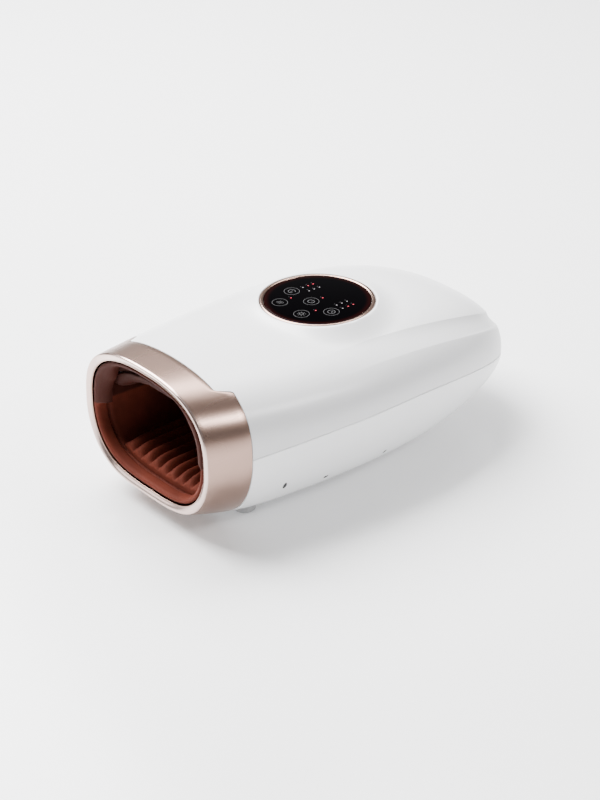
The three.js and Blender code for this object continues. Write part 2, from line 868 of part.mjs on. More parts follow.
function caseHalves() {
  const rebate = rimStrip(tongueOuterInset - tongueClear, wall + tongueClear, tongueHeight + tongueClear);
  const tongue = rimStrip(tongueOuterInset, wall, tongueHeight)
    .subtract(block(2 * bodyHalfWidth, neckRear, roofMouth, 0, neckRear / 2 + tongueClear, roofMouth / 2));
  const threads = uprights(screwRadius + postBoreClear, boreSteps)
    .intersect(halfCase(true, wall, -cutOver, 0, innerFineness));
  const upper = plainHalf(true)
    .add(socketSeat())
    .subtract(rebate)
    .add(collarSolid())
    .subtract(panelCut())
    .subtract(threads)
    .subtract(socketCut());
  const lower = plainHalf(false)
    .add(tongue)
    .subtract(screwBores())
    .subtract(footPockets())
    .subtract(smallPits());
  return { upper, lower };
}

function panelCut() {
  const seat = panelSeatHeight();
  const under = shelfUnderside() - cutOver;
  const outer = glassRadius + ringWidth + fitGap;
  const pocket = rod(outer, ringHeight + cutOver, 0, panelCentre, seat, collarSteps);
  return pocket.add(rod(panelWindowRadius, 2 * cutOver, 0, panelCentre, seat - cutOver, roundSteps))
    .add(rod(touchBoardRadius + fitGap, cutOver, 0, panelCentre, under, roundSteps));
}

function screwBores() {
  const tools = screwPlaces().map(([x, y]) => {
    const seat = screwSeatAt(y);
    const bore = rod(screwRadius + postBoreClear, roofMouth, x, y, seat - fitGap, boreSteps);
    return bore.add(rod(screwHeadRadius + postBoreClear, seat + cutOver, x, y, -cutOver, postSteps));
  });
  return wasm.Manifold.union(tools);
}

function footPlaces() {
  return [footFrontAt, footRearAt].flatMap((y) => [[-footSpread, y], [footSpread, y]]);
}

function footPockets() {
  const tools = footPlaces().map(([x, y]) => {
    const depth = bellyAt(x, y, 0) + footSink - wall / 2;
    return rod(footRadius + fitGap, cutOver + depth, x, y, -cutOver, smallSteps);
  });
  return wasm.Manifold.union(tools);
}

function smallPits() {
  const spread = outlineAt(pitAt) - pitInset;
  const tools = [-spread, spread].map((x) => {
    return rod(pitRadius, cutOver + bellyAt(x, pitAt, 0) + pitDepth, x, pitAt, -cutOver, smallSteps / 2);
  });
  return wasm.Manifold.union(tools);
}

// The socket's face lies a little way in from the tail tip
function socketFace() {
  return bodyLength - socketRecess;
}

// Thickened tail wall that the charging socket's flange rests against
function socketSeat() {
  const start = socketFace() - wall;
  const pad = rodY(socketFlangeRadius + wall, bodyLength - start, 0, start, socketZ, roundSteps / 2);
  return pad.intersect(halfCase(true, wall / 2, splitGap / 2, 0, innerFineness));
}

function socketCut() {
  const start = socketFace() - wall - cutOver;
  const [x, depth] = [0, wall / 2 + cutOver];
  const flange = rodY(socketFlangeRadius + fitGap, depth, x, start, socketZ, smallSteps);
  return flange.add(rodY(socketRadius + fitGap, bodyLength, x, start, socketZ, smallSteps));
}

const { upper, lower } = caseHalves();
addPiece('upper_case', upper, 'white');
addPiece('lower_case', lower, 'white');

// Trim ring: its lip stands furthest forward at the outer edge and slopes in to the bore
function trimRing() {
  const outer = sectionSolid([
    [0, trimRound * trimRoundShares[0]],
    [trimRound * trimRoundShares[1], trimRound * trimRoundShares[1]],
    [trimRound, 0],
    [(neckFront + neckRear) / 2, 0],
    [neckRear, 0],
  ], caseForm, sectionSteps);
  const bore = sectionSolid([
    [-cutOver, lipWidth - lipSlope],
    [0, lipWidth - lipSlope],
    [lipFall, lipWidth],
    [lipDepth, lipWidth],
    [lipDepth + trimWall / 2, trimWall],
    ...neckStops(trimWall, 0),
    [neckRear + cutOver, trimWall],
  ], caseForm, sectionSteps);
  return outer.subtract(bore).intersect(trimSide(0));
}
addPiece('mouth_trim', trimRing(), 'roseGold');

// Lining of the hand chamber: a full band at the mouth, then a trough with its top open
function chamberLining() {
  const stops = [[linerFront, 0], [bandDepth, 0], [chamberDepth + linerWall, 0]];
  const shell = sectionSolid(stops, chamberForm, sectionSteps);
  const bandInset = linerWall + bandStep;
  const bore = sectionSolid([
    [linerFront - cutOver, bandInset - bandStep / 2],
    [linerFront + bandStep / 2, bandInset],
    [bandDepth, bandInset],
    [bandDepth + bandStep, linerWall],
    [chamberDepth, linerWall],
  ], chamberForm, sectionSteps);
  const start = bandDepth + bandStep;
  const top = linerEdgeHeight + roofMouth / 2;
  const window = block(2 * bodyHalfWidth, bodyLength, roofMouth, 0, start + bodyLength / 2, top);
  return shell.subtract(bore).subtract(window);
}
addPiece('chamber_lining', chamberLining(), 'lining');

// The two frames close round the lining: they meet at one height and share their walls
function frameShell() {
  const end = chamberDepth + linerWall + frameClear;
  const outset = -frameClear - frameWall;
  const middle = (frameFront + end) / 2;
  const outer = [frameFront, middle, end + frameWall].map((y) => [y, outset]);
  const inner = [frameFront - cutOver, middle, end].map((y) => [y, -frameClear]);
  const hollow = sectionSolid(inner, chamberForm, frameSteps);
  return sectionSolid(outer, chamberForm, frameSteps).subtract(hollow);
}

// All that lies above or below a height
function level(height, above) {
  const size = 2 * bodyLength;
  return block(size, size, size, 0, 0, above ? height + size / 2 : height - size / 2);
}

// Each bladder's elbow comes up through the upper frame, a hose's room below the roof
function elbowPlaces() {
  return [[elbowSpread, handElbowAt], [-elbowSpread, fingerElbowAt]].map(([x, y]) => {
    return { x, y, z: roofOver(x, y) - wall - hoseRadius - hoseRoofClear };
  });
}

function upperFrame() {
  const holes = elbowPlaces().map(({ x, y }) => {
    return rod(elbowRadius + fitGap, bodyHalfWidth, x, y, frameSplitHeight, postSteps);
  });
  const half = frameShell().intersect(level(frameSplitHeight + splitGap, true));
  return half.subtract(wasm.Manifold.union(holes));
}
addPiece('upper_frame', upperFrame(), 'frame');

// The inside of the case below its parting line, which legs and saddles are cut to
const lowerRoom = halfCase(false, wall + fitGap, -splitGap, neckRear, innerFineness);

function lowerFrame() {
  const legs = [];
  for (const share of frameLegShares) {
    const y = chamberDepth * share;
    for (const x of [-frameLegSpread, frameLegSpread]) {
      const top = chamberHeight(y, x, false, -frameClear - frameWall / 2);
      legs.push(block(frameLegWidth, frameLegDepth, top, x, y, top / 2));
    }
  }
  const half = frameShell().intersect(level(frameSplitHeight, false));
  return half.add(wasm.Manifold.union(legs).intersect(lowerRoom));
}
addPiece('lower_frame', lowerFrame(), 'frame');

// A closed strip through sections across Y: each section is a lower and an upper line
function strip(ys, lowerLine, upperLine) {
  return skin(ys.map((y) => [...lowerLine(y), ...upperLine(y).reverse()]));
}

function spread(halfWidth, steps) {
  return range(steps + 1, (i) => between(-halfWidth, halfWidth, i / steps));
}

// Heating film glued under the lining
function heatingFilm() {
  const line = (inset) => (y) => {
    const { half, mid } = chamberSizes(y);
    const reach = (filmHalfWidth / chamberEndHalfWidth) * (half - inset);
    const ring = sectionRing(y, inset, sectionSteps, chamberForm);
    return ring.filter(([x, , z]) => z < mid && Math.abs(x) < reach);
  };
  const rest = (frameClear - filmThickness) / 2;
  return strip([filmFront, filmRear], line(-rest - filmThickness), line(-rest));
}
addPiece('heating_film', heatingFilm(), 'film');

// Ribbed floor pad: rounded ribs run lengthwise and die out near both ends
function padEndShare(y) {
  const near = Math.min(y - padFront, padRear - y) / ribRun;
  return near >= 1 ? 1 : Math.sqrt(Math.max(0, 1 - (1 - near) ** 2));
}

function padTop(x, y) {
  const out = Math.abs(x) / padHalfWidth;
  const plump = Math.sqrt(1 - out ** padRoundness) * between(padRunShare, 1, padEndShare(y));
  const body = padThickness * between(padRimShare, 1, plump);
  const wave = (1 + Math.cos((Math.PI * ribCount * x) / padHalfWidth)) / 2;
  const rib = ribHeight * wave ** ribSharpness * padEndShare(y) * (1 - out ** (2 * padRoundness));
  return chamberHeight(y, x, false, linerWall + padClear) + body + rib;
}

function floorPad() {
  const ys = ribRunShares.map((part) => padFront + ribRun * part);
  ys.push(...padMiddleShares.map((part) => between(padFront, padRear, part)));
  ys.push(...ribRunShares.map((part) => padRear - ribRun * part).reverse());
  const inset = linerWall + padClear;
  const under = (y) => spread(padHalfWidth, boreSteps).map((x) => {
    return [x, y, chamberHeight(y, x, false, inset)];
  });
  const over = (y) => spread(padHalfWidth, ribCount * ribSteps).map((x) => [x, y, padTop(x, y)]);
  return strip(ys, under, over);
}
addPiece('floor_pad', floorPad(), 'lining');

// Arch that the cushions and bladders follow, drawn in at the sides and down from the roof
function archHeight(y, x, side, drop) {
  const { half, roof, mid } = chamberSizes(y);
  const share = Math.min(1, Math.abs(x) / (half - side));
  return mid + (roof - drop - mid) * (1 - share ** roofFullness.mouth) ** (1 / roofShoulder.mouth);
}

// How far from the middle such an arch comes down to a height
function archReach(y, height, side, drop) {
  const { half, roof, mid } = chamberSizes(y);
  const fall = ((height - mid) / (roof - drop - mid)) ** roofShoulder.mouth;
  return (half - side) * (1 - fall) ** (1 / roofFullness.mouth);
}

function archLine(y, height, side, drop, steps) {
  const reach = archReach(y, height, side, drop);
  return range(steps + 1, (i) => {
    const x = -reach * Math.cos((Math.PI * i) / steps);
    return [x, y, archHeight(y, x, side, drop)];
  });
}

const cushionSide = linerWall + cushionSideClear;
const cushionDrop = bladderThickness + 2 * bladderClear;

// A press cushion: an arch with crowned ends, flanks along the walls and sewn channels
function pressCushion(front, rear) {
  const ends = cushionEndShares.map((part) => part * cushionEndRound);
  const ys = [...ends.map((d) => front + d), (front + rear) / 2, ...ends.map((d) => rear - d).reverse()];
  const plumpness = (y) => {
    const near = Math.min(1, (y - front) / cushionEndRound, (rear - y) / cushionEndRound);
    return between(cushionEndPlumpShare, 1, Math.sqrt(Math.max(0, 1 - (1 - near) ** 2)));
  };
  const edgeAt = (y) => {
    const rise = ((1 - plumpness(y)) * cushionEndRound) / 2;
    return cushionEdgeHeight - (cushionEdgeFall * y) / chamberDepth + rise;
  };
  const under = (y) => {
    const thick = cushionThickness * plumpness(y);
    const line = archLine(y, edgeAt(y), cushionSide + thick, cushionDrop + thick, cushionSteps);
    return line.map(([x, , z]) => {
      const channel = Math.exp(-(((Math.abs(x) - cushionChannelSpread) / cushionChannelWidth) ** 2));
      return [x, y, z + cushionChannelDepth * channel * plumpness(y)];
    });
  };
  const over = (y) => {
    return archLine(y, edgeAt(y), cushionSide, cushionDrop, smallSteps);
  };
  return strip(ys, under, over);
}
addPiece('hand_cushion', pressCushion(cushionFront, cushionSplit), 'lining');
addPiece('finger_cushion', pressCushion(cushionSplit + cushionGap, cushionRear), 'lining');

// An air bladder between a cushion and the upper frame, with a moulded elbow for its hose
function bladder(front, rear, elbow) {
  const ys = [front, front + bladderSeam, (front + rear) / 2, rear - bladderSeam, rear];
  const rest = -frameClear + bladderClear;
  const flat = (y) => (y === front || y === rear ? bladderThickness * bladderSeamShare : 0);
  const under = (y) => spread(bladderHalfWidth, postSteps).map((x) => {
    return [x, y, archHeight(y, x, cushionSide, cushionDrop - bladderClear - flat(y))];
  });
  const over = (y) => spread(bladderHalfWidth, postSteps).map((x) => [x, y, archHeight(y, x, rest, rest)]);
  const low = archHeight(elbow.y, elbow.x, 0, bladderThickness / 2);
  const stem = rod(elbowRadius, elbow.z + elbowRadius - low, elbow.x, elbow.y, low, postSteps);
  const spigot = rodY(spigotRadius, elbowRadius + spigotLength, elbow.x, elbow.y, elbow.z, boreSteps);
  return solid(strip(ys, under, over)).add(stem).add(spigot);
}
const [handElbow, fingerElbow] = elbowPlaces();
addPiece('hand_bladder', bladder(cushionFront + bladderSeam, cushionSplit, handElbow), 'bladder');
const fingerBladder = bladder(cushionSplit + cushionGap, cushionRear - bladderSeam, fingerElbow);
addPiece('finger_bladder', fingerBladder, 'bladder');

// Touch panel: ring, glass, light guide and board, stacked on the collar's seat
const panelSeat = panelSeatHeight();

function panelPart(profile, z, steps = roundSteps) {
  return turned(profile, steps).translate([0, panelCentre, z]);
}

function panelRing() {
  const [inner, outer] = [glassRadius + fitGap, glassRadius + ringWidth];
  return panelPart([
    [inner, 0], [outer, 0], [outer, ringHeight - ringChamfer], [outer - ringChamfer, ringHeight],
    [inner + ringChamfer, ringHeight], [inner, ringHeight - ringChamfer], [inner, 0],
  ], panelSeat + fitGap, collarSteps);
}
addPiece('panel_ring', panelRing(), 'roseGold');
addPiece('panel_glass', panelPart([
  [0, 0], [glassRadius, 0], [glassRadius, ringHeight - 2 * glassSink],
  [glassRadius - glassSink, ringHeight - glassSink], [0, ringHeight - glassSink],
], panelSeat + fitGap, collarSteps), 'glass');

// Light guide with a well under each touch key
function lightGuide() {
  const wells = keyPlaces().map(([x, y]) => rod(keyWellRadius, 3 * panelSeatThickness, x, y + panelCentre,
    panelSeat - 2 * panelSeatThickness, boreSteps));
  const height = panelSeatThickness + splitGap;
  const body = rod(panelWindowRadius - fitGap, height, 0, panelCentre, panelSeat - height, roundSteps);
  return body.subtract(wasm.Manifold.union(wells));
}

// The five touch keys, from the panel's centre
function keyPlaces() {
  const wing = [-keySpread, keySpread].flatMap((x) => [[x, keyStep], [x, -keyStep]]);
  return [[0, 0], ...wing];
}
addPiece('light_guide', lightGuide(), 'guide');

function touchBoard() {
  const top = panelSeat - panelSeatThickness - splitGap - fitGap;
  const plate = rod(touchBoardRadius, boardThickness, 0, panelCentre, top - boardThickness, roundSteps);
  const chip = block(touchChipSize, touchChipSize, touchChipHeight + boardThickness / 2, 0, panelCentre,
    top - boardThickness - touchChipHeight / 2 + boardThickness / 4);
  return plate.add(chip);
}
addPiece('touch_board', touchBoard(), 'board');

// Rubber feet and case screws
footPlaces().forEach(([x, y], i) => {
  const height = footStand + bellyAt(x, y, 0) + footSink - wall / 2 - fitGap;
  const foot = turned([
    [0, 0], [footRadius - footChamfer, 0], [footRadius, footChamfer], [footRadius, height], [0, height],
  ], smallSteps).translate([x, y, -footStand]);
  addPiece(`foot_${i + 1}`, foot, 'paleRubber');
});

screwPlaces().forEach(([x, y], i) => {
  const screw = turned([
    [0, 0], [screwHeadRadius, 0], [screwHeadRadius, screwHeadHeight], [screwRadius, screwHeadHeight],
    [screwRadius, screwLength - screwRadius], [0, screwLength],
  ], boreSteps).translate([x, y, screwSeatAt(y) - fitGap - screwHeadHeight]);
  addPiece(`case_screw_${i + 1}`, screw, 'steel');
});

// Air pump, drawn along +Y from its own frame at the motor's rear
const pump = new THREE.Group();
pump.position.set(pumpX, pumpFront, pumpZ);
bodyFrame.add(pump);

// A turned piece about the pump's axis: the profile is [radius, place along Y]
function pumpTurned(profile, steps) {
  const points = profile.map(([r, y]) => new THREE.Vector2(r, y));
  return solid(new THREE.LatheGeometry(points, steps));
}

function pumpMotor() {
  const end = motorLength;
  const can = pumpTurned([[0, 0], [motorRadius, 0], [motorRadius, end], [motorBossRadius, end],
    [motorBossRadius, end + motorBossLength], [0, end + motorBossLength]], canSteps);
  const sides = [-1, 1].map((side) => block(2 * motorRadius, 3 * motorLength, motorRadius,
    0, 0, side * (motorFlat + motorRadius / 2)));
  const blind = end + motorBossLength - motorBoreDepth;
  const bore = rodY(shaftRadius + postBoreClear, motorBoreDepth + cutOver, 0, blind, 0, boreSteps);
  const tabs = [-terminalSpread, terminalSpread].map((x) => block(terminalWidth, 2 * terminalReach,
    terminalWidth / 4, x));
  return can.subtract(sides[0]).subtract(sides[1]).subtract(bore).add(tabs[0]).add(tabs[1]);
}
addPiece('pump_motor', pumpMotor(), 'steel', pump);

const housingStart = motorLength + fitGap;

function motorShaft() {
  const start = motorLength + motorBossLength - motorBoreDepth + fitGap;
  const end = motorLength + crankStart + crankBoreDepth - fitGap;
  return rodY(shaftRadius, end - start, 0, start, 0, boreSteps);
}
addPiece('motor_shaft', motorShaft(), 'steel', pump);

// Points along the tilted line that crosses the pump's axis at the wobble centre
function tilted(shape) {
  const lean = THREE.MathUtils.radToDeg(wobbleLean);
  return shape.rotate([lean, 0, 0]).translate([0, motorLength + wobbleCentre, 0]);
}

// Crank on the motor shaft: its pin leans across the axis and carries the wobble plate
function crank() {
  const start = motorLength + crankStart;
  const disc = rodY(crankRadius, crankThickness, 0, start, 0, smallSteps);
  const blind = start + crankBoreDepth - crankThickness;
  const bore = rodY(shaftRadius + postBoreClear, crankThickness, 0, blind, 0, boreSteps);
  const reach = wobbleCentre - crankStart - crankBoreDepth - fitGap;
  const pin = tilted(rodY(crankPinRadius, reach, 0, -reach, 0, boreSteps));
  return disc.subtract(bore).add(pin);
}
addPiece('pump_crank', crank(), 'black', pump);

function wobblePlate() {
  const hub = rodY(wobbleHubRadius, wobbleHubLength, 0, -wobbleHubLength + wobbleThickness, 0, postSteps);
  const bore = rodY(crankPinRadius + fitGap, wobbleHubLength, 0, fitGap - wobbleHubLength, 0, boreSteps);
  const arms = range(cupCount, (i) => {
    const [width, thickness, reach] = [wobbleArmWidth, wobbleThickness, wobbleArmReach];
    const arm = block(width, thickness, reach, 0, thickness / 2, reach / 2);
    return arm.rotate([0, (360 * i) / cupCount, 0]);
  });
  return tilted(hub.add(wasm.Manifold.union(arms)).subtract(bore));
}
addPiece('wobble_plate', wobblePlate(), 'guide', pump);

function pumpHousing() {
  const [start, end] = [housingStart, housingStart + housingLength];
  const cup = pumpTurned([[housingEyeRadius, start], [housingRadius, start], [housingRadius, end],
    [housingRadius - housingWall, end], [housingRadius - housingWall, start + housingWall],
    [housingEyeRadius, start + housingWall], [housingEyeRadius, start]], canSteps);
  const vent = block(wobbleArmWidth, housingLength / 2, 4 * housingRadius, 0, (start + end) / 2, 0);
  return cup.subtract(vent);
}
addPiece('pump_housing', pumpHousing(), 'frame', pump);

const diaphragmStart = housingStart + housingLength + fitGap;

// Places of the pump's cups and valve holes round its axis
function cupPlaces() {
  const radius = wobbleArmReach - wobbleArmWidth / 2;
  return range(cupCount, (i) => {
    const angle = (2 * Math.PI * i) / cupCount;
    return [radius * Math.sin(angle), radius * Math.cos(angle)];
  });
}

function diaphragm() {
  const plate = rodY(housingRadius, diaphragmThickness, 0, diaphragmStart, 0, canSteps);
  const start = diaphragmStart - cupDepth;
  const cups = cupPlaces().map(([x, z]) => {
    return rodY(cupRadius, cupDepth + diaphragmThickness, x, start, z, postSteps);
  });
  const hollows = cupPlaces().map(([x, z]) => {
    return rodY(cupRadius - cupWall, cupDepth + cutOver, x, start + cupWall, z, postSteps);
  });
  return plate.add(wasm.Manifold.union(cups)).subtract(wasm.Manifold.union(hollows));
}
addPiece('pump_diaphragm', diaphragm(), 'rubber', pump);

const valvePlateStart = diaphragmStart + diaphragmThickness + fitGap;

function valvePlate() {
  const plate = rodY(housingRadius, valvePlateThickness, 0, valvePlateStart, 0, canSteps);
  const [start, length] = [valvePlateStart - valvePlateThickness, 3 * valvePlateThickness];
  const holes = cupPlaces().map(([x, z]) => rodY(valveHoleRadius, length, x, start, z, boreSteps));
  return plate.subtract(wasm.Manifold.union(holes));
}
addPiece('pump_valve_plate', valvePlate(), 'frame', pump);

const headStart = valvePlateStart + valvePlateThickness + fitGap;

function pumpHead() {
  const end = headStart + headThickness;
  const room = housingRadius - 2 * housingWall;
  const cap = pumpTurned([
    [0, headStart + housingWall], [room, headStart + housingWall], [room, headStart],
    [housingRadius, headStart], [housingRadius, end - housingWall], [housingRadius - housingWall, end],
    [spigotRadius, end], [spigotRadius, end + nozzleLength], [0, end + nozzleLength],
  ], canSteps);
  return cap.subtract(rodY(nozzleBore, headThickness + nozzleLength + cutOver, 0, headStart, 0, boreSteps));
}
addPiece('pump_head', pumpHead(), 'frame', pump);

// Rubber saddle cut to the case floor below and to the motor above
function pumpSaddle() {
  const y = pumpFront + motorLength / 2;
  const top = pumpZ - motorRadius + saddleWrap;
  const rest = block(saddleWidth, saddleLength, top, pumpX, y, top / 2).intersect(lowerRoom);
  return rest.subtract(rodY(motorRadius + fitGap, bodyLength, pumpX, 0, pumpZ, canSteps));
}
addPiece('pump_saddle', pumpSaddle(), 'rubber');

// Battery tray on four legs cut to the case floor, with pillars that carry the main board
const trayLength = cellLength + 2 * cellCapHeight + 2 * trayClear;
const trayDepth = 2 * cellRadius + cellPitch + 2 * trayClear;
const trayY = cellFront + cellPitch / 2;
const cellX = pumpX + housingRadius + trayPumpGap + trayWall + trayLength / 2;

function batteryTray() {
  const low = cellZ - cellRadius - trayClear - trayWall;
  const [width, depth] = [trayLength + 2 * trayWall, trayDepth + 2 * trayWall];
  const outer = block(width, depth, trayWall + trayLip, cellX, trayY, low + (trayWall + trayLip) / 2);
  const pocket = block(trayLength, trayDepth, roofMouth, cellX, trayY, low + trayWall + roofMouth / 2);
  const corners = [-1, 1].flatMap((a) => [-1, 1].map((b) => {
    return [cellX + a * (width - pillarSize) / 2, trayY + b * (depth - pillarSize) / 2];
  }));
  const pillars = corners.map(([x, y]) => {
    const height = mainBoardZ - fitGap - low;
    return block(pillarSize, pillarSize, height, x, y, low + height / 2);
  });
  const legs = corners.map(([x, y]) => {
    return block(pillarSize, pillarSize, low + trayWall, x, y, (low + trayWall) / 2);
  });
  const saved = wasm.Manifold.union(pillars);
  return outer.subtract(pocket).add(saved).add(wasm.Manifold.union(legs).intersect(lowerRoom));
}
addPiece('battery_tray', batteryTray(), 'frame');

range(2, (i) => {
  const y = cellFront + i * cellPitch;
  const low = -cellLength / 2;
  const cell = turned([
    [0, low], [cellRadius, low], [cellRadius, -low], [cellCapRadius, -low],
    [cellCapRadius, -low + cellCapHeight], [0, -low + cellCapHeight],
  ], smallSteps).rotate([0, i === 0 ? quarterTurn : -quarterTurn, 0]).translate([cellX, y, cellZ]);
  return addPiece(`battery_cell_${i + 1}`, cell, 'cell');
});

function mainBoard() {
  const [width, depth] = [trayLength + 2 * trayWall, trayDepth + 2 * trayWall];
  const plate = block(width, depth, boardThickness, cellX, trayY, mainBoardZ + boardThickness / 2);
  const top = mainBoardZ + boardThickness / 2;
  const chip = block(chipSize, chipSize, chipHeight + boardThickness / 2, cellX + width * chipShare, trayY,
    top + chipHeight / 2 + boardThickness / 4);
  const rise = capacitorHeight + boardThickness / 2;
  const [canX, canY] = [cellX + width * chipShare, trayY + depth * chipShare + capacitorRadius];
  const can = rod(capacitorRadius, rise, canX, canY, top, postSteps);
  const plug = block(ribbonWidth + 2 * ribbonThickness, chipHeight * 2, chipHeight + boardThickness / 2,
    0, ribbonEndAt, top + chipHeight / 2 + boardThickness / 4);
  return plate.add(chip).add(can).add(plug);
}
addPiece('main_board', mainBoard(), 'board');

// Air manifold on the upper frame's end wall, with elbows on top for the bladder hoses
const manifoldY = chamberDepth + linerWall + frameClear + frameWall + fitGap;

function airManifold() {
  const top = manifoldZ + manifoldHeight;
  let body = block(manifoldWidth, manifoldDepth, manifoldHeight, 0, manifoldY + manifoldDepth / 2,
    manifoldZ + manifoldHeight / 2);
  for (const side of [-1, 1]) {
    const x = side * manifoldElbowSpread;
    const rise = manifoldElbowRise + 2 * elbowRadius;
    const stem = rod(elbowRadius, rise, x, manifoldMiddle(), top - elbowRadius, postSteps);
    body = body.add(stem).add(spigotX(x, side, top + manifoldElbowRise));
  }
  return body.add(spigotX(-manifoldWidth / 2 + spigotRadius, -1, manifoldZ + manifoldHeight / 2));
}

function manifoldMiddle() {
  return manifoldY + manifoldDepth / 2;
}

// A hose spigot that points to one side from x
function spigotX(x, side, z) {
  const length = elbowRadius + spigotLength;
  const geometry = new THREE.CylinderGeometry(spigotRadius, spigotRadius, length, boreSteps);
  geometry.rotateZ(Math.PI / 2).translate(x + (side * length) / 2, manifoldMiddle(), z);
  return solid(geometry);
}
addPiece('air_manifold', airManifold(), 'frame');

// Exhaust valves behind the manifold: body, return spring and plunger along Y
const valveY = manifoldY + manifoldDepth + fitGap;
const valveZ = manifoldZ + manifoldHeight / 2;

[-valveSpread, valveSpread].forEach((x, i) => {
  const valve = new THREE.Group();
  valve.position.set(x, valveY, valveZ);
  bodyFrame.add(valve);
  const plungerStart = valveLength + plungerReach - plungerLength;
  const boreStart = plungerStart - plungerStroke - springRoom();
  const casing = rodY(valveRadius, valveLength, 0, 0, 0, smallSteps)
    .subtract(rodY(plungerRadius + plungerClear, valveLength, 0, boreStart, 0, postSteps));
  addPiece(`valve_body_${i + 1}`, casing, 'steel', valve);
  const plunger = rodY(plungerRadius, plungerLength, 0, plungerStart, 0, postSteps);
  addPiece(`valve_plunger_${i + 1}`, plunger, 'steel', valve);
  const coil = springCoil(boreStart + springClear, plungerStart - springClear);
  addPiece(`valve_spring_${i + 1}`, coil, 'steel', valve);
});

function springRoom() {
  return springTurns * 2 * springWire + 2 * springClear + springWire;
}

// One open helix between two places along Y
function springCoil(start, end) {
  const radius = plungerRadius - 2 * springWire;
  const steps = springTurns * springSteps;
  const low = start + springWire;
  const high = end - springWire;
  const points = range(steps + 1, (i) => {
    const angle = (2 * Math.PI * i) / springSteps;
    const y = between(low, high, i / steps);
    return new THREE.Vector3(radius * Math.cos(angle), y, radius * Math.sin(angle));
  });
  return solid(tubeAlong(points, springWire, 0, steps, springSides));
}

// A tube or rod that follows a smooth line through points
function tubeAlong(points, radius, bore, steps, sides) {
  const ring = (r) => range(sides, (i) => {
    const angle = (2 * Math.PI * i) / sides;
    return new THREE.Vector2(r * Math.cos(angle), r * Math.sin(angle));
  });
  const shape = new THREE.Shape(ring(radius));
  if (bore > 0) shape.holes.push(new THREE.Path(ring(bore)));
  const path = new THREE.CatmullRomCurve3(points);
  return new THREE.ExtrudeGeometry(shape, { steps, extrudePath: path, bevelEnabled: false });
}

// Hoses: from the pump to the manifold, and from the manifold to each bladder
function hose(places) {
  const points = places.map(([x, y, z]) => new THREE.Vector3(x, y, z));
  return solid(tubeAlong(points, hoseRadius, hoseBore, hoseSteps, hoseSides));
}

const manifoldTopZ = manifoldZ + manifoldHeight + manifoldElbowRise;

// A bladder hose starts behind its elbow, runs back over the frame's shoulder and turns in
function bladderHose(elbow, side) {
  const start = elbow.y + elbowRadius + fitGap;
  const mouth = side * (manifoldElbowSpread + elbowRadius + fitGap);
  const shoulder = side * hoseShoulder;
  const route = hoseLeadShares.map((part) => [elbow.x, start + hoseLead * part, elbow.z]);
  const gap = chamberDepth - hoseTurn - start - hoseLead;
  const stops = Math.round(gap / hosePitch);
  for (let i = 1; i <= stops; i += 1) {
    const y = start + hoseLead + (gap * i) / stops;
    route.push([shoulder, y, roofOver(shoulder, y) - wall - hoseRadius - hoseSideClear]);
  }
  const turn = hoseLead / 2;
  route.push([side * (hoseShoulder - turn), chamberDepth + turn, manifoldTopZ + turn]);
  const end = hoseLeadShares.map((part) => [mouth + side * hoseLead * part, manifoldMiddle(), manifoldTopZ]);
  return hose([...route, ...end.reverse()]);
}
addPiece('hand_hose', bladderHose(handElbow, 1), 'hose');
addPiece('finger_hose', bladderHose(fingerElbow, -1), 'hose');

function pumpHose() {
  const start = pumpFront + headStart + headThickness + fitGap;
  const mouth = -manifoldWidth / 2 + spigotRadius - elbowRadius - spigotLength - fitGap;
  const back = start + hoseLead;
  const middle = manifoldMiddle();
  const riseX = between(pumpX, mouth, hoseRiseShare);
  return hose([
    [pumpX, start, pumpZ],
    [pumpX, start + hoseLead / 2, pumpZ],
    [pumpX, back, pumpZ],
    [pumpX, back + hoseLead / 2, pumpZ + hoseTurn],
    [riseX, start, between(pumpZ, valveZ, hoseHeightShare)],
    [pumpX, middle + 2 * hoseTurn, valveZ],
    [pumpX, middle + hoseLead, valveZ],
    [mouth - hoseLead / 4, middle, valveZ],
    [mouth, middle, valveZ],
  ]);
}
addPiece('pump_hose', pumpHose(), 'hose');

// Flat cable from the touch board down to the main board
function ribbonCable() {
  const top = panelSeat - panelSeatThickness - splitGap - fitGap - boardThickness - fitGap;
  const foot = mainBoardZ + boardThickness + chipHeight + fitGap;
  const start = panelCentre + touchBoardRadius - ribbonWidth;
  const [bend, fall] = ribbonFallShares.map((share) => between(foot, top, share));
  const points = [
    [start, top - ribbonThickness / 2],
    [start + ribbonWidth, top - ribbonThickness],
    [manifoldY, roofOver(0, manifoldY) - wall - ribbonWidth / 2],
    [ribbonEndAt - ribbonWidth, bend],
    [ribbonEndAt, fall],
    [ribbonEndAt, foot],
  ].map(([y, z]) => new THREE.Vector3(0, y, z));
  const shape = new THREE.Shape([[-1, -1], [1, -1], [1, 1], [-1, 1]].map(([a, b]) => {
    return new THREE.Vector2((a * ribbonWidth) / 2, (b * ribbonThickness) / 2);
  }));
  const path = new THREE.CatmullRomCurve3(points);
  const options = { steps: ribbonSteps, extrudePath: path, bevelEnabled: false };
  return solid(new THREE.ExtrudeGeometry(shape, options));
}
addPiece('ribbon_cable', ribbonCable(), 'frame');

// Charging socket with its flange inside the tail wall
function chargingSocket() {
  const face = socketFace() - wall / 2 - fitGap;
  const barrel = rodY(socketRadius, socketLength, 0, face - socketLength + wall, socketZ, smallSteps);
  const [thickness, radius] = [socketFlangeThickness, socketFlangeRadius];
  const flange = rodY(radius, thickness, 0, face - thickness, socketZ, smallSteps);
  const blind = face + wall - socketBoreDepth;
  const bore = rodY(socketBore, socketBoreDepth + cutOver, 0, blind, socketZ, smallSteps);
  return barrel.add(flange).subtract(bore);
}
addPiece('charging_socket', chargingSocket(), 'black');

export default object;
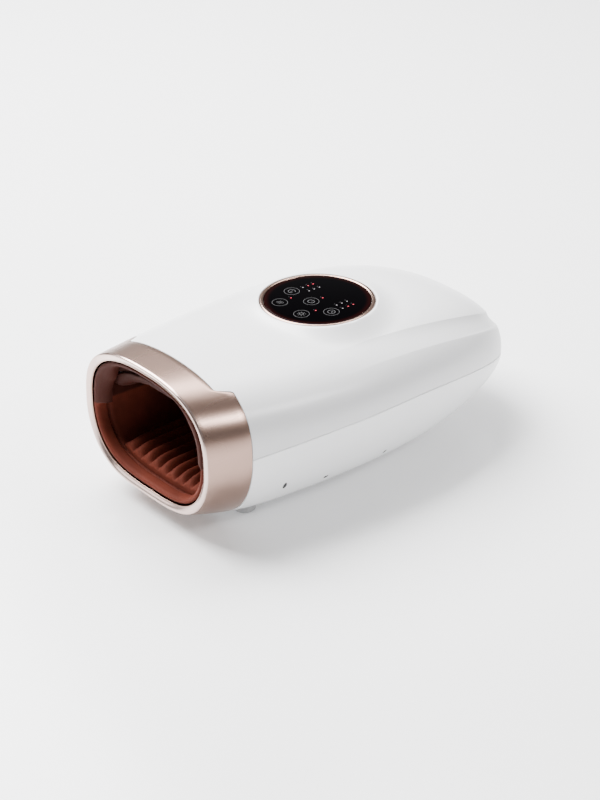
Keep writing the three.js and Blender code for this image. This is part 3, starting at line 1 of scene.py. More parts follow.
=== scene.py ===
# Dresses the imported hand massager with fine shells, trim, lining, cushions and panel.
# Metres, +Z up, mouth at -Y. In the body frame y runs from the mouth plane (0) to the tail
# and z from the case floor, as the case's own curves are drawn.
import json
import math

import bpy
import numpy as np
from bpy.props import FloatProperty, FloatVectorProperty, IntProperty, PointerProperty
from bpy.types import Operator, Panel, PropertyGroup
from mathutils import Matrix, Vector

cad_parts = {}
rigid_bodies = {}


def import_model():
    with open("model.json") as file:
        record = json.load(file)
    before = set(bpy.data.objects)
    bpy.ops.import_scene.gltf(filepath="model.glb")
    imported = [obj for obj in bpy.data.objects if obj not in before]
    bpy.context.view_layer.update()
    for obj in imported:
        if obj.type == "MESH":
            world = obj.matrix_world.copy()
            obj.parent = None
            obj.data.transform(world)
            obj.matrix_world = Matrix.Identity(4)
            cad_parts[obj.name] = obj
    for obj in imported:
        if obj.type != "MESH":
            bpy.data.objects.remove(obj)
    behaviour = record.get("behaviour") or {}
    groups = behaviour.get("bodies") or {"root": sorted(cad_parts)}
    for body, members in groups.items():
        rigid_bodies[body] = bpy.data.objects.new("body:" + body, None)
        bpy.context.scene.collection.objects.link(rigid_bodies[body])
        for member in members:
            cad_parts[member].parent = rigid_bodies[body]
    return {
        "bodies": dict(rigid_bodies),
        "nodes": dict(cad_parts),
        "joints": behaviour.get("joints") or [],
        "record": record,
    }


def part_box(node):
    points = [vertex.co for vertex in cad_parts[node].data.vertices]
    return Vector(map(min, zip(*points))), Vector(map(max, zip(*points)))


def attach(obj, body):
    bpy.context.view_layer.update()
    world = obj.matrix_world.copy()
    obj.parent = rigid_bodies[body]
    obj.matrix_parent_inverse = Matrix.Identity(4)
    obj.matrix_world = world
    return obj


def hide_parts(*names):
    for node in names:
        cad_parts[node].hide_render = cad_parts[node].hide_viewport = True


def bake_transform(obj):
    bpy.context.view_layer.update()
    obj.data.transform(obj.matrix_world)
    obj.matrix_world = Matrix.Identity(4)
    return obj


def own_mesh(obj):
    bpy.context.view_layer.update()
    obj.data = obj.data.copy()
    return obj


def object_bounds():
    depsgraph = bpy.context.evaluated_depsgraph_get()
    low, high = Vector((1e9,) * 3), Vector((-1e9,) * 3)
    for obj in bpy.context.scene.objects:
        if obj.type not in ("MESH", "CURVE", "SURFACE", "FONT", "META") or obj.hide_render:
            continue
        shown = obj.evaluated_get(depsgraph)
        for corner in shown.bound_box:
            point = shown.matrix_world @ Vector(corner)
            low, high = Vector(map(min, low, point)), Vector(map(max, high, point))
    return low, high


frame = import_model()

bl_info = {
    "name": "Hand massager dressing",
    "version": (1, 0, 0),
    "blender": (4, 5, 0),
    "location": "View3D > Sidebar > Massager",
    "description": "Builds the visible pieces and finishes of a table-top hand massager",
    "category": "Object",
}

CAD_LOW, CAD_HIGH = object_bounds()
FRONT_Y = CAD_LOW.y
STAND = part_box("lower_case")[0].z
MM = 0.001
MEET = 0.001 * MM
SAME_PLACE = 0.002 * MM
TINY = 1e-12


def length(name, description, default):
    """A length in metres that a user may change."""
    return FloatProperty(name=name, description=description, default=default, unit="LENGTH", precision=4)


def colour(name, description, default):
    """A scene colour that a user may change."""
    return FloatVectorProperty(name=name, description=description, default=default, size=3, min=0, max=1,
                               subtype="COLOR")


class CaseSizes(PropertyGroup):
    """Plan, roof, floor and parting line of the case"""
    long: length("Length", "Mouth plane to tail tip", CAD_HIGH.y - CAD_LOW.y)
    half_wide: length("Half width", "Half width at the widest place", CAD_HIGH.x)
    mouth_half: length("Mouth half width", "Half width at the mouth plane", 60.7 * MM)
    widest_at: length("Widest place", "From the mouth plane to the widest place", 128 * MM)
    roof_mouth: length("Roof at mouth", "Roof height at the mouth", 101.5 * MM)
    roof_crown: length("Roof at crown", "Roof height at its low crown", 98.3 * MM)
    roof_tail: length("Roof at tail", "Height that the roof curve ends at", 85 * MM)
    roof_crown_at: length("Crown place", "From the mouth plane to the roof's crown", 156.6 * MM)
    split_mouth: length("Parting at mouth", "Parting line height at the mouth", 53 * MM)
    split_crown: length("Parting at crown", "Parting line height at its crown", 59 * MM)
    split_tail: length("Parting at tail", "Parting line height at the tail", 34.5 * MM)
    split_crown_at: length("Parting crown place", "From the mouth plane to the parting's crown", 140 * MM)
    front_rise: length("Front rise", "How far the floor lifts at the mouth", 11.4 * MM)
    front_run: length("Front run", "Length over which the floor lifts at the mouth", 60 * MM)
    tail_rise: length("Tail rise", "How far the floor lifts at the tail", 14 * MM)
    tail_from: length("Tail rise start", "Where the floor starts to lift", 159 * MM)
    wall: length("Wall", "Wall thickness of the case", 2.6 * MM)
    gap: length("Gap", "Fine gap between pieces that meet", 0.3 * MM)
    rim: length("Rim round", "Rounding along the edges of the case halves", 0.35 * MM)
    crease: length("Crease depth", "How deep the band between the creases sinks at the tail", 2.0 * MM)
    crease_half: length("Crease half width", "Half width of each crease's soft corner", 0.7 * MM)


class TrimSizes(PropertyGroup):
    """Mouth trim, its lip and the curve of its rear edge"""
    deep: length("Depth", "Mouth plane to the plain rear edge", 30 * MM)
    wall: length("Wall", "Wall of the trim", 2.4 * MM)
    nose: length("Nose round", "Rounding of the outer front edge", 1.2 * MM)
    lip: length("Lip width", "Width of the lip across the section", 5.2 * MM)
    lip_fall: length("Lip fall", "How far the slope falls back at the bore", 1.6 * MM)
    lip_deep: length("Lip depth", "How far back the lip's bore runs", 5 * MM)
    horn_back: length("Horn reach", "How far each side leans back at its horn", 2.3 * MM)
    reach: length("White tongue", "How far the white case runs forward on top", 7.6 * MM)
    horn: length("Horn place", "Half width at which the tongue's curve starts", 48 * MM)
    sweep: length("Sweep", "Width of the tongue's curve", 7 * MM)
    arch: length("Arch", "How far the tongue's front edge bows back in the middle", 1 * MM)


class ChamberSizes(PropertyGroup):
    """Lined hand chamber"""
    deep: length("Depth", "Mouth plane to the end of the chamber", 180 * MM)
    end_half: length("End half width", "Half width at the chamber's end", 47 * MM)
    roof_fall: length("Roof fall", "How far its roof comes down towards the end", 12.2 * MM)
    end_floor: length("End floor", "Floor height at the chamber's end", 18 * MM)
    end_mid: length("End middle", "Height of the section's middle at the end", 50 * MM)
    band: length("Band depth", "How far the smooth band runs in", 9 * MM)
    cloth: length("Cloth", "Thickness of the lining", 1.6 * MM)
    edge: length("Edge height", "Height at which the lining's side ends", 68 * MM)
    pad_front: length("Pad front", "Where the ribbed pad starts", 12 * MM)
    pad_gap: length("Pad end gap", "Room between the pad and the end wall", 4 * MM)
    pad_half: length("Pad half width", "Half width of the ribbed pad", 38 * MM)
    rib: length("Rib height", "Height of a rib", 4.5 * MM)
    ribs: IntProperty(name="Ribs", description="Ribs across the pad", default=9, min=1)


class PanelSizes(PropertyGroup):
    """Round touch panel on its collar"""
    centre: length("Centre", "From the mouth plane to the panel's centre", 140 * MM)
    rise: length("Rise", "Height of the collar above the roof", 2.7 * MM)
    glass: length("Glass radius", "Radius of the glass", 34.2 * MM)
    ring: length("Ring width", "Width of the metal ring", 3 * MM)
    high: length("Height", "Height of ring and glass", 3 * MM)
    top: length("Collar top", "Flat width on top of the collar", 1.6 * MM)
    run: length("Collar run", "Width over which the collar fades into the roof", 15 * MM)


class Colours(PropertyGroup):
    """Base colours of the visible finishes"""
    shell: colour("Shell", "White moulded case", (0.74, 0.74, 0.75))
    trim: colour("Trim", "Satin rose gold", (0.37, 0.245, 0.2))
    lip: colour("Lip", "Polished edge of the trim", (0.62, 0.47, 0.42))
    cloth: colour("Cloth", "Copper-brown lining", (0.1, 0.02, 0.011))
    glass: colour("Glass", "Black panel glass", (0.0003, 0.0002, 0.0004))
    print: colour("Print", "Dim grey print under the glass", (0.05, 0.05, 0.052))
    lamp: colour("Lamp", "Lit red lamp", (0.4, 0.02, 0.04))
    floor: colour("Floor", "Pale studio floor", (0.84, 0.84, 0.845))


FLARE_POWER = 1.7
TAIL_POWER = 2.52
SETTLES_AT = 100 * MM
# At the mouth, and from SETTLES_AT back
ROOF_FULLNESS = (2.44, 2.61)
ROOF_SHOULDER = (2.99, 2.39)
BELLY_FULLNESS = (3.62, 3.6)
BELLY_SHOULDER = (1.83, 2.07)
# Share of the half width at the start, its growth to the tail, and how late it grows
INNER_CREASE = (0.63, 0.33, 2.2)
OUTER_CREASE = (0.836, 0.15, 1.35)
INNER_CREASE_FROM = 110 * MM
COLLAR_POWER = 2.2


def between(a, b, share):
    return a + (b - a) * share


def ease(low, high, value):
    """0 below low, 1 above high, and a smooth step between them."""
    t = np.clip((value - low) / (high - low), 0, 1)
    return t * t * (3 - 2 * t)


def quarter_turn(steps):
    """Angles that step through a right angle."""
    return np.linspace(0, math.pi / 2, steps)


def arched(share, fullness, shoulder):
    """How much of its height a section keeps at a share of its half width."""
    return (1 - share ** fullness) ** (1 / shoulder)


def stacked(x, y, z):
    """Rows of x, y and z from numbers or arrays."""
    return np.stack(np.broadcast_arrays(x, y, z), axis=-1)


class CaseForm:
    """The curves of the case, worked out from its sizes for numbers or arrays."""

    def __init__(self):
        scene = bpy.context.scene
        self.case = scene.massager_case
        self.trim = scene.massager_trim
        self.panel = scene.massager_panel

    def half_width(self, y):
        case = self.case
        run = np.maximum(0, (case.widest_at - y) / case.widest_at)
        return case.half_wide + (case.mouth_half - case.half_wide) * run ** FLARE_POWER

    def crowned(self, y, mouth, crown, tail, at):
        """A curve from its mouth height over its crown to its tail height."""
        front = crown + (mouth - crown) * ((at - y) / at) ** 2
        rear = crown + (tail - crown) * ((y - at) / (self.case.long - at)) ** 2
        return np.where(y < at, front, rear)

    def roof(self, y):
        case = self.case
        return self.crowned(y, case.roof_mouth, case.roof_crown, case.roof_tail, case.roof_crown_at)

    def split(self, y):
        case = self.case
        return self.crowned(y, case.split_mouth, case.split_crown, case.split_tail, case.split_crown_at)

    def floor(self, y):
        case = self.case
        front = np.maximum(0, (case.front_run - y) / case.front_run)
        rear = np.maximum(0, (y - case.tail_from) / (case.long - case.tail_from))
        return case.front_rise * front ** 2 + case.tail_rise * rear ** 2

    def settled(self, pair, y):
        """A value at the mouth that has become another one at SETTLES_AT."""
        return between(*pair, np.clip(y / SETTLES_AT, 0, 1))

    def height(self, y, share, upper, inset=0.0):
        """Height of the roof or the belly at a share of the half width."""
        split = self.split(y)
        share = np.clip(share, 0, 1)
        if upper:
            kept = arched(share, self.settled(ROOF_FULLNESS, y), self.settled(ROOF_SHOULDER, y))
            return split + (self.roof(y) - inset - split) * kept
        kept = arched(share, self.settled(BELLY_FULLNESS, y), self.settled(BELLY_SHOULDER, y))
        return split - (split - self.floor(y) - inset) * kept

    def share_at(self, x, y):
        """How far out a plan place lies, from 0 on the spine to 1 on the outline."""
        case = self.case
        across = np.abs(x) / self.half_width(y)
        along = np.maximum(0, (y - case.widest_at) / (case.long - case.widest_at))
        return (across ** TAIL_POWER + along ** TAIL_POWER) ** (1 / TAIL_POWER)

    def panel_plane(self):
        return float(self.roof(self.panel.centre)) + self.panel.rise

    def collar_lift(self, x, y, roof):
        """How far the collar round the panel raises the roof at a plan place."""
        panel = self.panel
        inner = panel.glass + panel.ring + panel.top
        share = np.clip((np.hypot(x, y - panel.centre) - inner) / panel.run, 0, 1)
        return (self.panel_plane() - roof) * (1 - share) ** COLLAR_POWER

    def roof_over(self, x, y):
        roof = self.height(y, self.share_at(x, y), True)
        return roof + self.collar_lift(x, y, roof)

    def trim_edge(self, x):
        """Rear edge of the trim above the parting line."""
        trim = self.trim
        flat = trim.horn - trim.sweep
        side = self.half_width(trim.deep)
        lean = trim.horn_back * np.clip((side - np.abs(x)) / (side - trim.horn), 0, 1)
        sweep = (trim.horn_back + trim.reach) * ease(0, 1, (trim.horn - np.abs(x)) / trim.sweep)
        bow = trim.arch * np.clip(1 - np.abs(x) / flat, 0, 1)
        return trim.deep + lean - sweep + bow

    def creases(self, reach):
        """Shares of the half width at which the inner and the outer crease run."""
        lines = []
        starts = INNER_CREASE_FROM, self.case.widest_at
        for (base, growth, late), start in zip((INNER_CREASE, OUTER_CREASE), starts):
            run = np.maximum(0, (reach - start) / (self.case.long - start))
            lines.append(base + growth * run ** late)
        return lines


def rows_of(points):
    """A grid or a list of points as plain rows of x, y and z."""
    return np.asarray(points, float).reshape(-1, 3)


def to_row(points):
    """Body frame to the row frame."""
    return rows_of(points) + (0, FRONT_Y, STAND)


def seat(node):
    """Plan place, half width, and low and high ends of an upright piece, in the body frame."""
    low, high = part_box(node)
    middle = (low + high) / 2
    return middle.x, middle.y - FRONT_Y, (high.x - low.x) / 2, low.z - STAND, high.z - STAND


def tail_place(form, angle, share):
    """Plan place at a share of the way out towards an angle round the tail."""
    case = form.case
    c, s = np.cos(angle), np.sin(angle)
    size = (np.abs(c) ** TAIL_POWER + np.abs(s) ** TAIL_POWER) ** (-1 / TAIL_POWER)
    return share * case.half_wide * c * size, case.widest_at + share * (case.long - case.widest_at) * s * size


EDGE_ROUNDS = 4
SIDE_SPREAD = 1.15


def front_edge(form, share, upper):
    """Where the case's front edge lies on the line at a share of the half width."""
    y = np.full_like(share, form.trim.deep + form.case.gap)
    if upper:
        for _ in range(EDGE_ROUNDS):
            y = form.trim_edge(share * form.half_width(y)) + form.case.gap
    return y


def outline_grid(form, shares_of, upper, side_steps, tail_steps):
    """Rows of plan places from the left front round the tail to the right front, with each row's reach."""
    case = form.case
    alongs = np.linspace(0, 1, side_steps + 1) ** SIDE_SPREAD
    rows = []
    for side, order in ((-1, alongs), (1, alongs[::-1])):
        half = []
        for along in order:
            reach = between(form.trim.deep + case.gap, case.widest_at, along)
            share = shares_of(reach)
            y = between(front_edge(form, share, upper), case.widest_at, along)
            half.append((side * share * form.half_width(y), y, share, reach))
        rows.append(half)
    tail = []
    for step in range(1, tail_steps):
        angle = math.pi * (1 - step / tail_steps)
        reach = float(tail_place(form, angle, 1.0)[1])
        share = shares_of(reach)
        x, y = tail_place(form, angle, share)
        tail.append((x, y, share, reach))
    return [np.array(column) for column in zip(*(rows[0] + tail + rows[1]))]


def grid_normals(points):
    """Upward normals of a grid of points, from the steps to its neighbours."""
    normal = np.cross(np.gradient(points, axis=0), np.gradient(points, axis=1))
    normal /= np.maximum(np.linalg.norm(normal, axis=-1, keepdims=True), TINY)
    return normal * np.where(normal[..., 2:3] < 0, -1, 1)


def grid_faces(rows, columns, first=0, closed=False, flip=False):
    """Quads of a grid stored row by row. closed joins the last row to the first."""
    faces = []
    for r in range(rows if closed else rows - 1):
        n = (r + 1) % rows
        for c in range(columns - 1):
            a, b = first + r * columns + c, first + n * columns + c
            quad = (a, b, b + 1, a + 1)
            faces.append(quad[::-1] if flip else quad)
    return faces


def ring_faces(count, width, closed=True):
    """Quads between rings stored one after another. closed joins the last ring to the first."""
    faces = []
    for r in range(count if closed else count - 1):
        a, b = r * width, (r + 1) % count * width
        for c in range(width):
            d = (c + 1) % width
            faces.append((a + c, a + d, b + d, b + c))
    return faces


def facing_out(points, faces, hub):
    """The faces turned so that they look away from a point inside."""
    a, b, c = rows_of(points)[np.array(faces)[:, :3]].transpose(1, 0, 2)
    outward = np.sum(np.cross(b - a, c - a) * (a - hub))
    return faces if outward > 0 else [face[::-1] for face in faces]


SHARP_DEGREES = 32
ROD_STEPS = 40


def crisp(obj, sharp=SHARP_DEGREES):
    """Smooth shading on which edges steeper than sharp degrees stay crisp."""
    obj.data.shade_smooth()
    obj.data.set_sharp_from_angle(angle=math.radians(sharp))


def modify(obj, kind, **settings):
    """Adds a modifier with its settings."""
    modifier = obj.modifiers.new(kind.lower(), kind)
    for key, value in settings.items():
        setattr(modifier, key, value)
    return modifier


def make_mesh(name, points, faces, weld=True, sharp=SHARP_DEGREES):
    """A smooth mesh object whose points that meet are joined."""
    mesh = bpy.data.meshes.new(name)
    mesh.from_pydata([tuple(place) for place in points], [], faces)
    obj = bpy.data.objects.new(name, mesh)
    bpy.context.scene.collection.objects.link(obj)
    if weld:
        modify(obj, "WELD", merge_threshold=MEET)
        settle(obj)
    obj.data.validate()
    crisp(obj, sharp)
    return obj


def loft(name, rings, sharp):
    """A closed loop of rings of points in the body frame as a mesh object."""
    return make_mesh(name, to_row(rings), ring_faces(len(rings), len(rings[0])), sharp=sharp)


def settle(obj):
    """Applies every modifier of an object to its mesh."""
    bpy.context.view_layer.update()
    depsgraph = bpy.context.evaluated_depsgraph_get()
    mesh = bpy.data.meshes.new_from_object(obj.evaluated_get(depsgraph), depsgraph=depsgraph)
    old = obj.data
    obj.modifiers.clear()
    obj.data = mesh
    bpy.data.meshes.remove(old)
    return obj


def coordinates(pad):
    """A mesh object's points as rows of x, y and z, and its normals."""
    places = np.array([tuple(v.co) for v in pad.data.vertices])
    return places, np.array([tuple(v.normal) for v in pad.data.vertices])


def place_points(pad, places):
    """Moves a mesh object's points."""
    pad.data.vertices.foreach_set("co", places.ravel())
    pad.data.update()


CLOTH_VOXEL = 2 * MM
CLOTH_SMOOTH = 5
CLOTH_FRAMES = 20
CLOTH_PRESSURE = 4
SEWN_FACING = 0.2
SWELL_CAP = 2 * MM
SIDE_SWELL = 0.4


def swell(pad):
    """Fills a pad in a cloth run, with its upper face sewn to the frame above it."""
    modify(pad, "REMESH", mode="VOXEL", voxel_size=CLOTH_VOXEL)
    settle(pad)
    start, facing = coordinates(pad)
    sewn = pad.vertex_groups.new(name="sewn")
    sewn.add([int(i) for i in np.flatnonzero(facing[:, 2] > SEWN_FACING)], 1.0, "REPLACE")
    cloth = modify(pad, "CLOTH")
    cloth.settings.use_pressure = True
    cloth.settings.uniform_pressure_force = CLOTH_PRESSURE
    cloth.settings.effector_weights.gravity = 0
    cloth.settings.vertex_group_mass = sewn.name
    cloth.collision_settings.use_collision = False
    for frame in range(1, CLOTH_FRAMES + 1):
        bpy.context.scene.frame_set(frame)
    settle(pad)
    bpy.context.scene.frame_set(1)
    step = coordinates(pad)[0] - start
    far = np.linalg.norm(step, axis=1, keepdims=True)
    step *= np.minimum(1, SWELL_CAP / np.maximum(far, TINY))
    place_points(pad, start + step * (SIDE_SWELL, 1, 1))
    modify(pad, "SMOOTH", iterations=CLOTH_SMOOTH)
    modify(pad, "SUBSURF", levels=1)
    settle(pad)
    pad.data.shade_smooth()


def walled(outer, inner, faces):
    """Points and faces of a closed wall between an outer surface and its inner twin."""
    keys = np.round(rows_of(outer) / SAME_PLACE).astype(int)
    _, first, place = np.unique(keys, axis=0, return_index=True, return_inverse=True)
    place = place.ravel().tolist()
    count = len(first)
    points = np.concatenate([rows_of(outer)[first], rows_of(inner)[first]])
    skin = []
    for face in faces:
        ring = [place[i] for i in face]
        ring = [v for k, v in enumerate(ring) if v != ring[k - 1]]
        if len(ring) > 2:
            skin.append(tuple(ring))
    edges = {(a, b) for ring in skin for a, b in zip(ring, ring[1:] + ring[:1])}
    rim = [(b, a, a + count, b + count) for a, b in edges if (b, a) not in edges]
    lining = [tuple(v + count for v in ring)[::-1] for ring in skin]
    return points, skin + lining + sorted(rim)


def inside_of(form, points, upper):
    """Where the wall's inner face lies under points of the case's outer face."""
    case = form.case
    x, y = points[..., 0], points[..., 1]
    share = form.share_at(x, y)
    width = form.half_width(y)
    tail = (case.long - case.wall - case.widest_at) / (case.long - case.widest_at)
    y = np.where(y > case.widest_at, case.widest_at + (y - case.widest_at) * tail, y)
    x = x * (width - case.wall) / width
    return stacked(x, y, form.height(y, share, upper, case.wall))


def cut(obj, tools):
    """Cuts closed tool objects out of an object and removes them."""
    for tool in tools:
        modify(obj, "BOOLEAN", operation="DIFFERENCE", object=tool, solver="MANIFOLD")
        settle(obj)
        bpy.data.objects.remove(tool)
    crisp(obj)


def circle(radius, steps):
    """Places round a circle, in turn."""
    turn = [2 * math.pi * i / steps for i in range(steps)]
    return [(radius * math.cos(t), radius * math.sin(t)) for t in turn]


def prism(first, count):
    """Faces of a closed prism: its sides, its foot and its top."""
    sides = [(first + i, first + (i + 1) % count) for i in range(count)]
    faces = [(a, b, b + count, a + count) for a, b in sides]
    return faces + [tuple(range(first, first + count))[::-1], tuple(range(first + count, first + 2 * count))]


def rod(name, radius, low, high, place, level=False):
    """A closed cylinder in the body frame, upright or level along y."""
    points = [(a, b, h) for h in (low, high) for a, b in circle(radius, ROD_STEPS)]
    if level:
        points = [(a, h, -b) for a, b, h in points]
    return make_mesh(name, to_row(np.array(points) + place), prism(0, ROD_STEPS))


def dress(obj, body, slot, finish, *replaced):
    """Gives a finished piece its finish, its body and the nodes it stands for. The slot is not used."""
    obj.data.materials.clear()
    obj.data.materials.append(finish)
    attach(obj, body)
    if replaced:
        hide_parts(*replaced)
    return obj


class Link:
    """An output socket in a finish. Sums with it add Math nodes."""

    def __init__(self, finish, socket):
        self.finish = finish
        self.socket = socket

    def math(self, operation, *others):
        return self.finish.node("ShaderNodeMath", {"operation": operation},
                                dict(enumerate((self,) + others)))

    def __add__(self, other):
        return self.math("ADD", other)

    __radd__ = __add__

    def __mul__(self, other):
        return self.math("MULTIPLY", other)

    __rmul__ = __mul__

    def __sub__(self, other):
        return self.math("SUBTRACT", other)

    def __rsub__(self, other):
        return self.finish.node("ShaderNodeMath", {"operation": "SUBTRACT"}, {0: other, 1: self})

    def smooth(self, low, high):
        """0 below low and 1 above high, with a smooth step between them."""
        return self.finish.node("ShaderNodeMapRange", {"interpolation_type": "SMOOTHSTEP"},
                                {"Value": self, "From Min": low, "From Max": high})


class Finish:
    """A material that is built up from nodes in the row frame."""

    def __init__(self, name):
        self.material = bpy.data.materials.new(name)
        self.material.use_nodes = True
        self.tree = self.material.node_tree
        self.shader = next(n for n in self.tree.nodes if n.type == "BSDF_PRINCIPLED")

    def node(self, kind, settings=None, inputs=None, output=0):
        """Adds a node, sets it up, fills its sockets, and gives back one output."""
        made = self.tree.nodes.new(kind)
        for key, value in (settings or {}).items():
            setattr(made, key, value)
        for key, value in (inputs or {}).items():
            self.fill(made.inputs[key], value)
        return Link(self, made.outputs[output])

    def fill(self, socket, value):
        if isinstance(value, Link):
            self.tree.links.new(value.socket, socket)
        elif socket.type == "RGBA" and len(value) == 3:
            socket.default_value = (*value, 1)
        else:
            socket.default_value = value

    def place(self):
        return self.node("ShaderNodeTexCoord", output="Object")

    def axes(self):
        """The place's x, y and z."""
        split = self.node("ShaderNodeSeparateXYZ", inputs={0: self.place()})
        return [Link(self, out) for out in split.socket.node.outputs]

    def noise(self, scale, detail, stretch=None):
        """Soft noise at a scale per metre, which a stretch draws out along the axes."""
        place = self.place()
        if stretch:
            place = self.node("ShaderNodeVectorMath", {"operation": "MULTIPLY"}, {0: place, 1: stretch})
        return self.node("ShaderNodeTexNoise", None,
                         {"Vector": place, "Scale": scale, "Detail": detail})

    def mix(self, share, first, second):
        return self.node("ShaderNodeMix", {"data_type": "RGBA"}, {0: share, 6: first, 7: second}, output=2)

    def bump(self, height, depth, strength):
        return self.node("ShaderNodeBump", None, {"Height": height, "Distance": depth, "Strength": strength})

    def surface(self, **values):
        """Sets the shader's sockets. An underscore in a name stands for a blank."""
        for key, value in values.items():
            self.fill(self.shader.inputs[key.replace("_", " ")], value)
        return self.material


def shade(tint, share):
    """A colour made darker or lighter by a share."""
    return tuple(min(1.0, channel * share) for channel in tint)


def shell_finish():
    """Satin white moulding with a faint orange peel and slightly warmer patches."""
    tint = tuple(bpy.context.scene.massager_colours.shell)
    finish = Finish("white_shell")
    patch = finish.noise(14, 4).smooth(0.35, 0.7)
    peel = finish.noise(520, 2)
    grain = finish.noise(2600, 2)
    return finish.surface(
        Base_Color=finish.mix(patch, tint, shade(tint, 0.975)),
        Roughness=0.3 + 0.06 * peel + 0.03 * patch,
        Normal=finish.bump(peel + 0.3 * grain, 0.02 * MM, 0.5),
        Coat_Weight=0.15,
        Coat_Roughness=0.12,
    )


def trim_finish():
    """Satin rose-gold plating that turns paler and glossier on the rolled lip."""
    scene = bpy.context.scene
    colours, trim = scene.massager_colours, scene.massager_trim
    tint, pale = tuple(colours.trim), tuple(colours.lip)
    finish = Finish("rose_gold")
    y = finish.axes()[1]
    lip = 1 - y.smooth(FRONT_Y + 0.8 * trim.nose, FRONT_Y + 1.5 * trim.nose)
    cloud = finish.noise(24, 3, stretch=(1, 0.3, 1))
    grain = finish.noise(1500, 2)
    satin = finish.mix(cloud.smooth(0.3, 0.75), tint, shade(tint, 0.9))
    return finish.surface(
        Metallic=1.0,
        Base_Color=finish.mix(lip, satin, pale),
        Roughness=0.25 - 0.08 * lip + 0.05 * cloud,
        Normal=finish.bump(grain, 0.003 * MM, 0.3),
    )


THREAD = 0.7 * MM
# Share of the lining's colour kept above the fold: darker colour that paints the shade in the chamber's upper
# part
UPPER_PAINTED_SHADE = 0.36
PAINTED_SHADE_FADE = 2 * MM


def cloth_finish(name, tint, painted_shade_from=None):
    """Fine knitted lining cloth with a faint sheen. Above a given height its colour turns darker, which
    paints the shade in the chamber's upper part.
    """
    finish = Finish(name)
    x, y, z = finish.axes()
    warp, weft, rise = ((axis * (math.pi / THREAD)).math("SINE") for axis in (x, y, z))
    loops = warp * weft + 0.5 * rise * weft
    wear = finish.noise(60, 5)
    fuzz = finish.noise(4000, 2)
    tone_and_painted_shade = finish.mix(wear.smooth(0.3, 0.7), shade(tint, 1.12), shade(tint, 0.85))
    # Darker colour above the given height paints the shade that falls in the chamber's upper part
    if painted_shade_from:
        tone_and_painted_shade = finish.mix(z.smooth(painted_shade_from, painted_shade_from + PAINTED_SHADE_FADE), tone_and_painted_shade, shade(tint, UPPER_PAINTED_SHADE))
    return finish.surface(
        Base_Color=tone_and_painted_shade,
        Roughness=0.62 + 0.14 * wear,
        Normal=finish.bump(loops * 0.5 + fuzz * 0.6, 0.08 * MM, 0.6),
        Sheen_Weight=0.03,
        Sheen_Roughness=0.35,
        Sheen_Tint=(0.9, 0.45, 0.35),
        Specular_IOR_Level=0.1,
    )


RIM_TINT = (0.006, 0.0008, 0.0008)
RIM_TINT_FROM = 0.88


def glass_finish():
    """Black gloss glass with a dark-red tint towards its rim."""
    scene = bpy.context.scene
    tint = tuple(scene.massager_colours.glass)
    panel = scene.massager_panel
    finish = Finish("black_glass")
    x, y, _ = finish.axes()
    off = y - (FRONT_Y + panel.centre)
    out = (x * x + off * off).math("SQRT")
    rim = out.smooth(RIM_TINT_FROM * panel.glass, panel.glass)
    smear = finish.noise(40, 4)
    return finish.surface(
        Base_Color=finish.mix(rim, tint, RIM_TINT),
        Roughness=0.05 + 0.05 * smear,
        IOR=1.1,
    )


def print_finish(name, tint, glow):
    """Print or lamp that shows through the glass."""
    finish = Finish(name)
    speck = finish.noise(900, 2)
    return finish.surface(
        Base_Color=finish.mix(speck, tint, shade(tint, 0.8)),
        Roughness=0.25 + 0.1 * speck,
        Emission_Color=(*tint, 1),
        Emission_Strength=glow,
    )


def plain_finish(name, tint, roughness, metallic=0.0, grain=900, depth=0.02 * MM):
    """Moulded, coated or turned material with its own grain and slight colour change."""
    finish = Finish(name)
    patch = finish.noise(45, 4)
    fine = finish.noise(grain, 3)
    return finish.surface(
        Base_Color=finish.mix(patch.smooth(0.3, 0.7), tint, shade(tint, 0.86)),
        Roughness=roughness + 0.08 * fine,
        Metallic=metallic,
        Normal=finish.bump(fine, depth, 0.5),
    )


RUBBER_GRAIN = (1400, 0.05 * MM)
# Colour, roughness, metallic, and the scale and depth of the grain, by the record's slots
INNER_FINISHES = {
    "inner_frame": ((0.62, 0.62, 0.6), 0.45),
    "heating_film": ((0.45, 0.2, 0.05), 0.35, 0, 300),
    "bladder_film": ((0.5, 0.55, 0.6), 0.3, 0, 200, 0.06 * MM),
    "light_guide": ((0.75, 0.75, 0.72), 0.2),
    "circuit_board": ((0.02, 0.12, 0.05), 0.4, 0, 500),
    "motor_steel": ((0.6, 0.6, 0.6), 0.28, 1),
    "spring_steel": ((0.55, 0.55, 0.56), 0.22, 1),
    "screw_steel": ((0.42, 0.42, 0.43), 0.3, 1),
    "black_rubber": ((0.035, 0.035, 0.036), 0.7, 0, *RUBBER_GRAIN),
    "pale_rubber": ((0.62, 0.62, 0.63), 0.6, 0, *RUBBER_GRAIN),
    "black_plastic": ((0.03, 0.03, 0.032), 0.42),
    "cell_wrap": ((0.05, 0.18, 0.4), 0.3),
    "hose_silicone": ((0.7, 0.72, 0.72), 0.35),
    "ribbon_film": ((0.5, 0.3, 0.08), 0.35, 0, 400),
}


IMAGE_WIDE, IMAGE_HIGH = 600, 800
PICTURE_CENTRE = (317.47, 369.55)
LENS_PIXELS = 2003
SENSOR_MM = 36
CLIP = (0.05, 50)
# Azimuth, elevation and distance of the camera
VIEW = (48.9, 28.55, 1.3)
LOOK_AT = Vector((0, 0, 0.052))
AIR = 0.27
FLOOR_GLOW = 0.2
FLOOR_HALF = 6
# Azimuth, elevation, distance, width, height and watts of each soft light
LIGHTS = {
    "key_softbox": (-82, 54, 1.7, 1.6, 1.3, 200),
    "rear_softbox": (207, 54, 1.7, 0.8, 0.42, 13),
    "corner_strip": (113, 41, 1.6, 0.55, 0.3, 14),
    "lip_strip": (-44, 14, 1.5, 0.9, 0.4, 3.5),
}


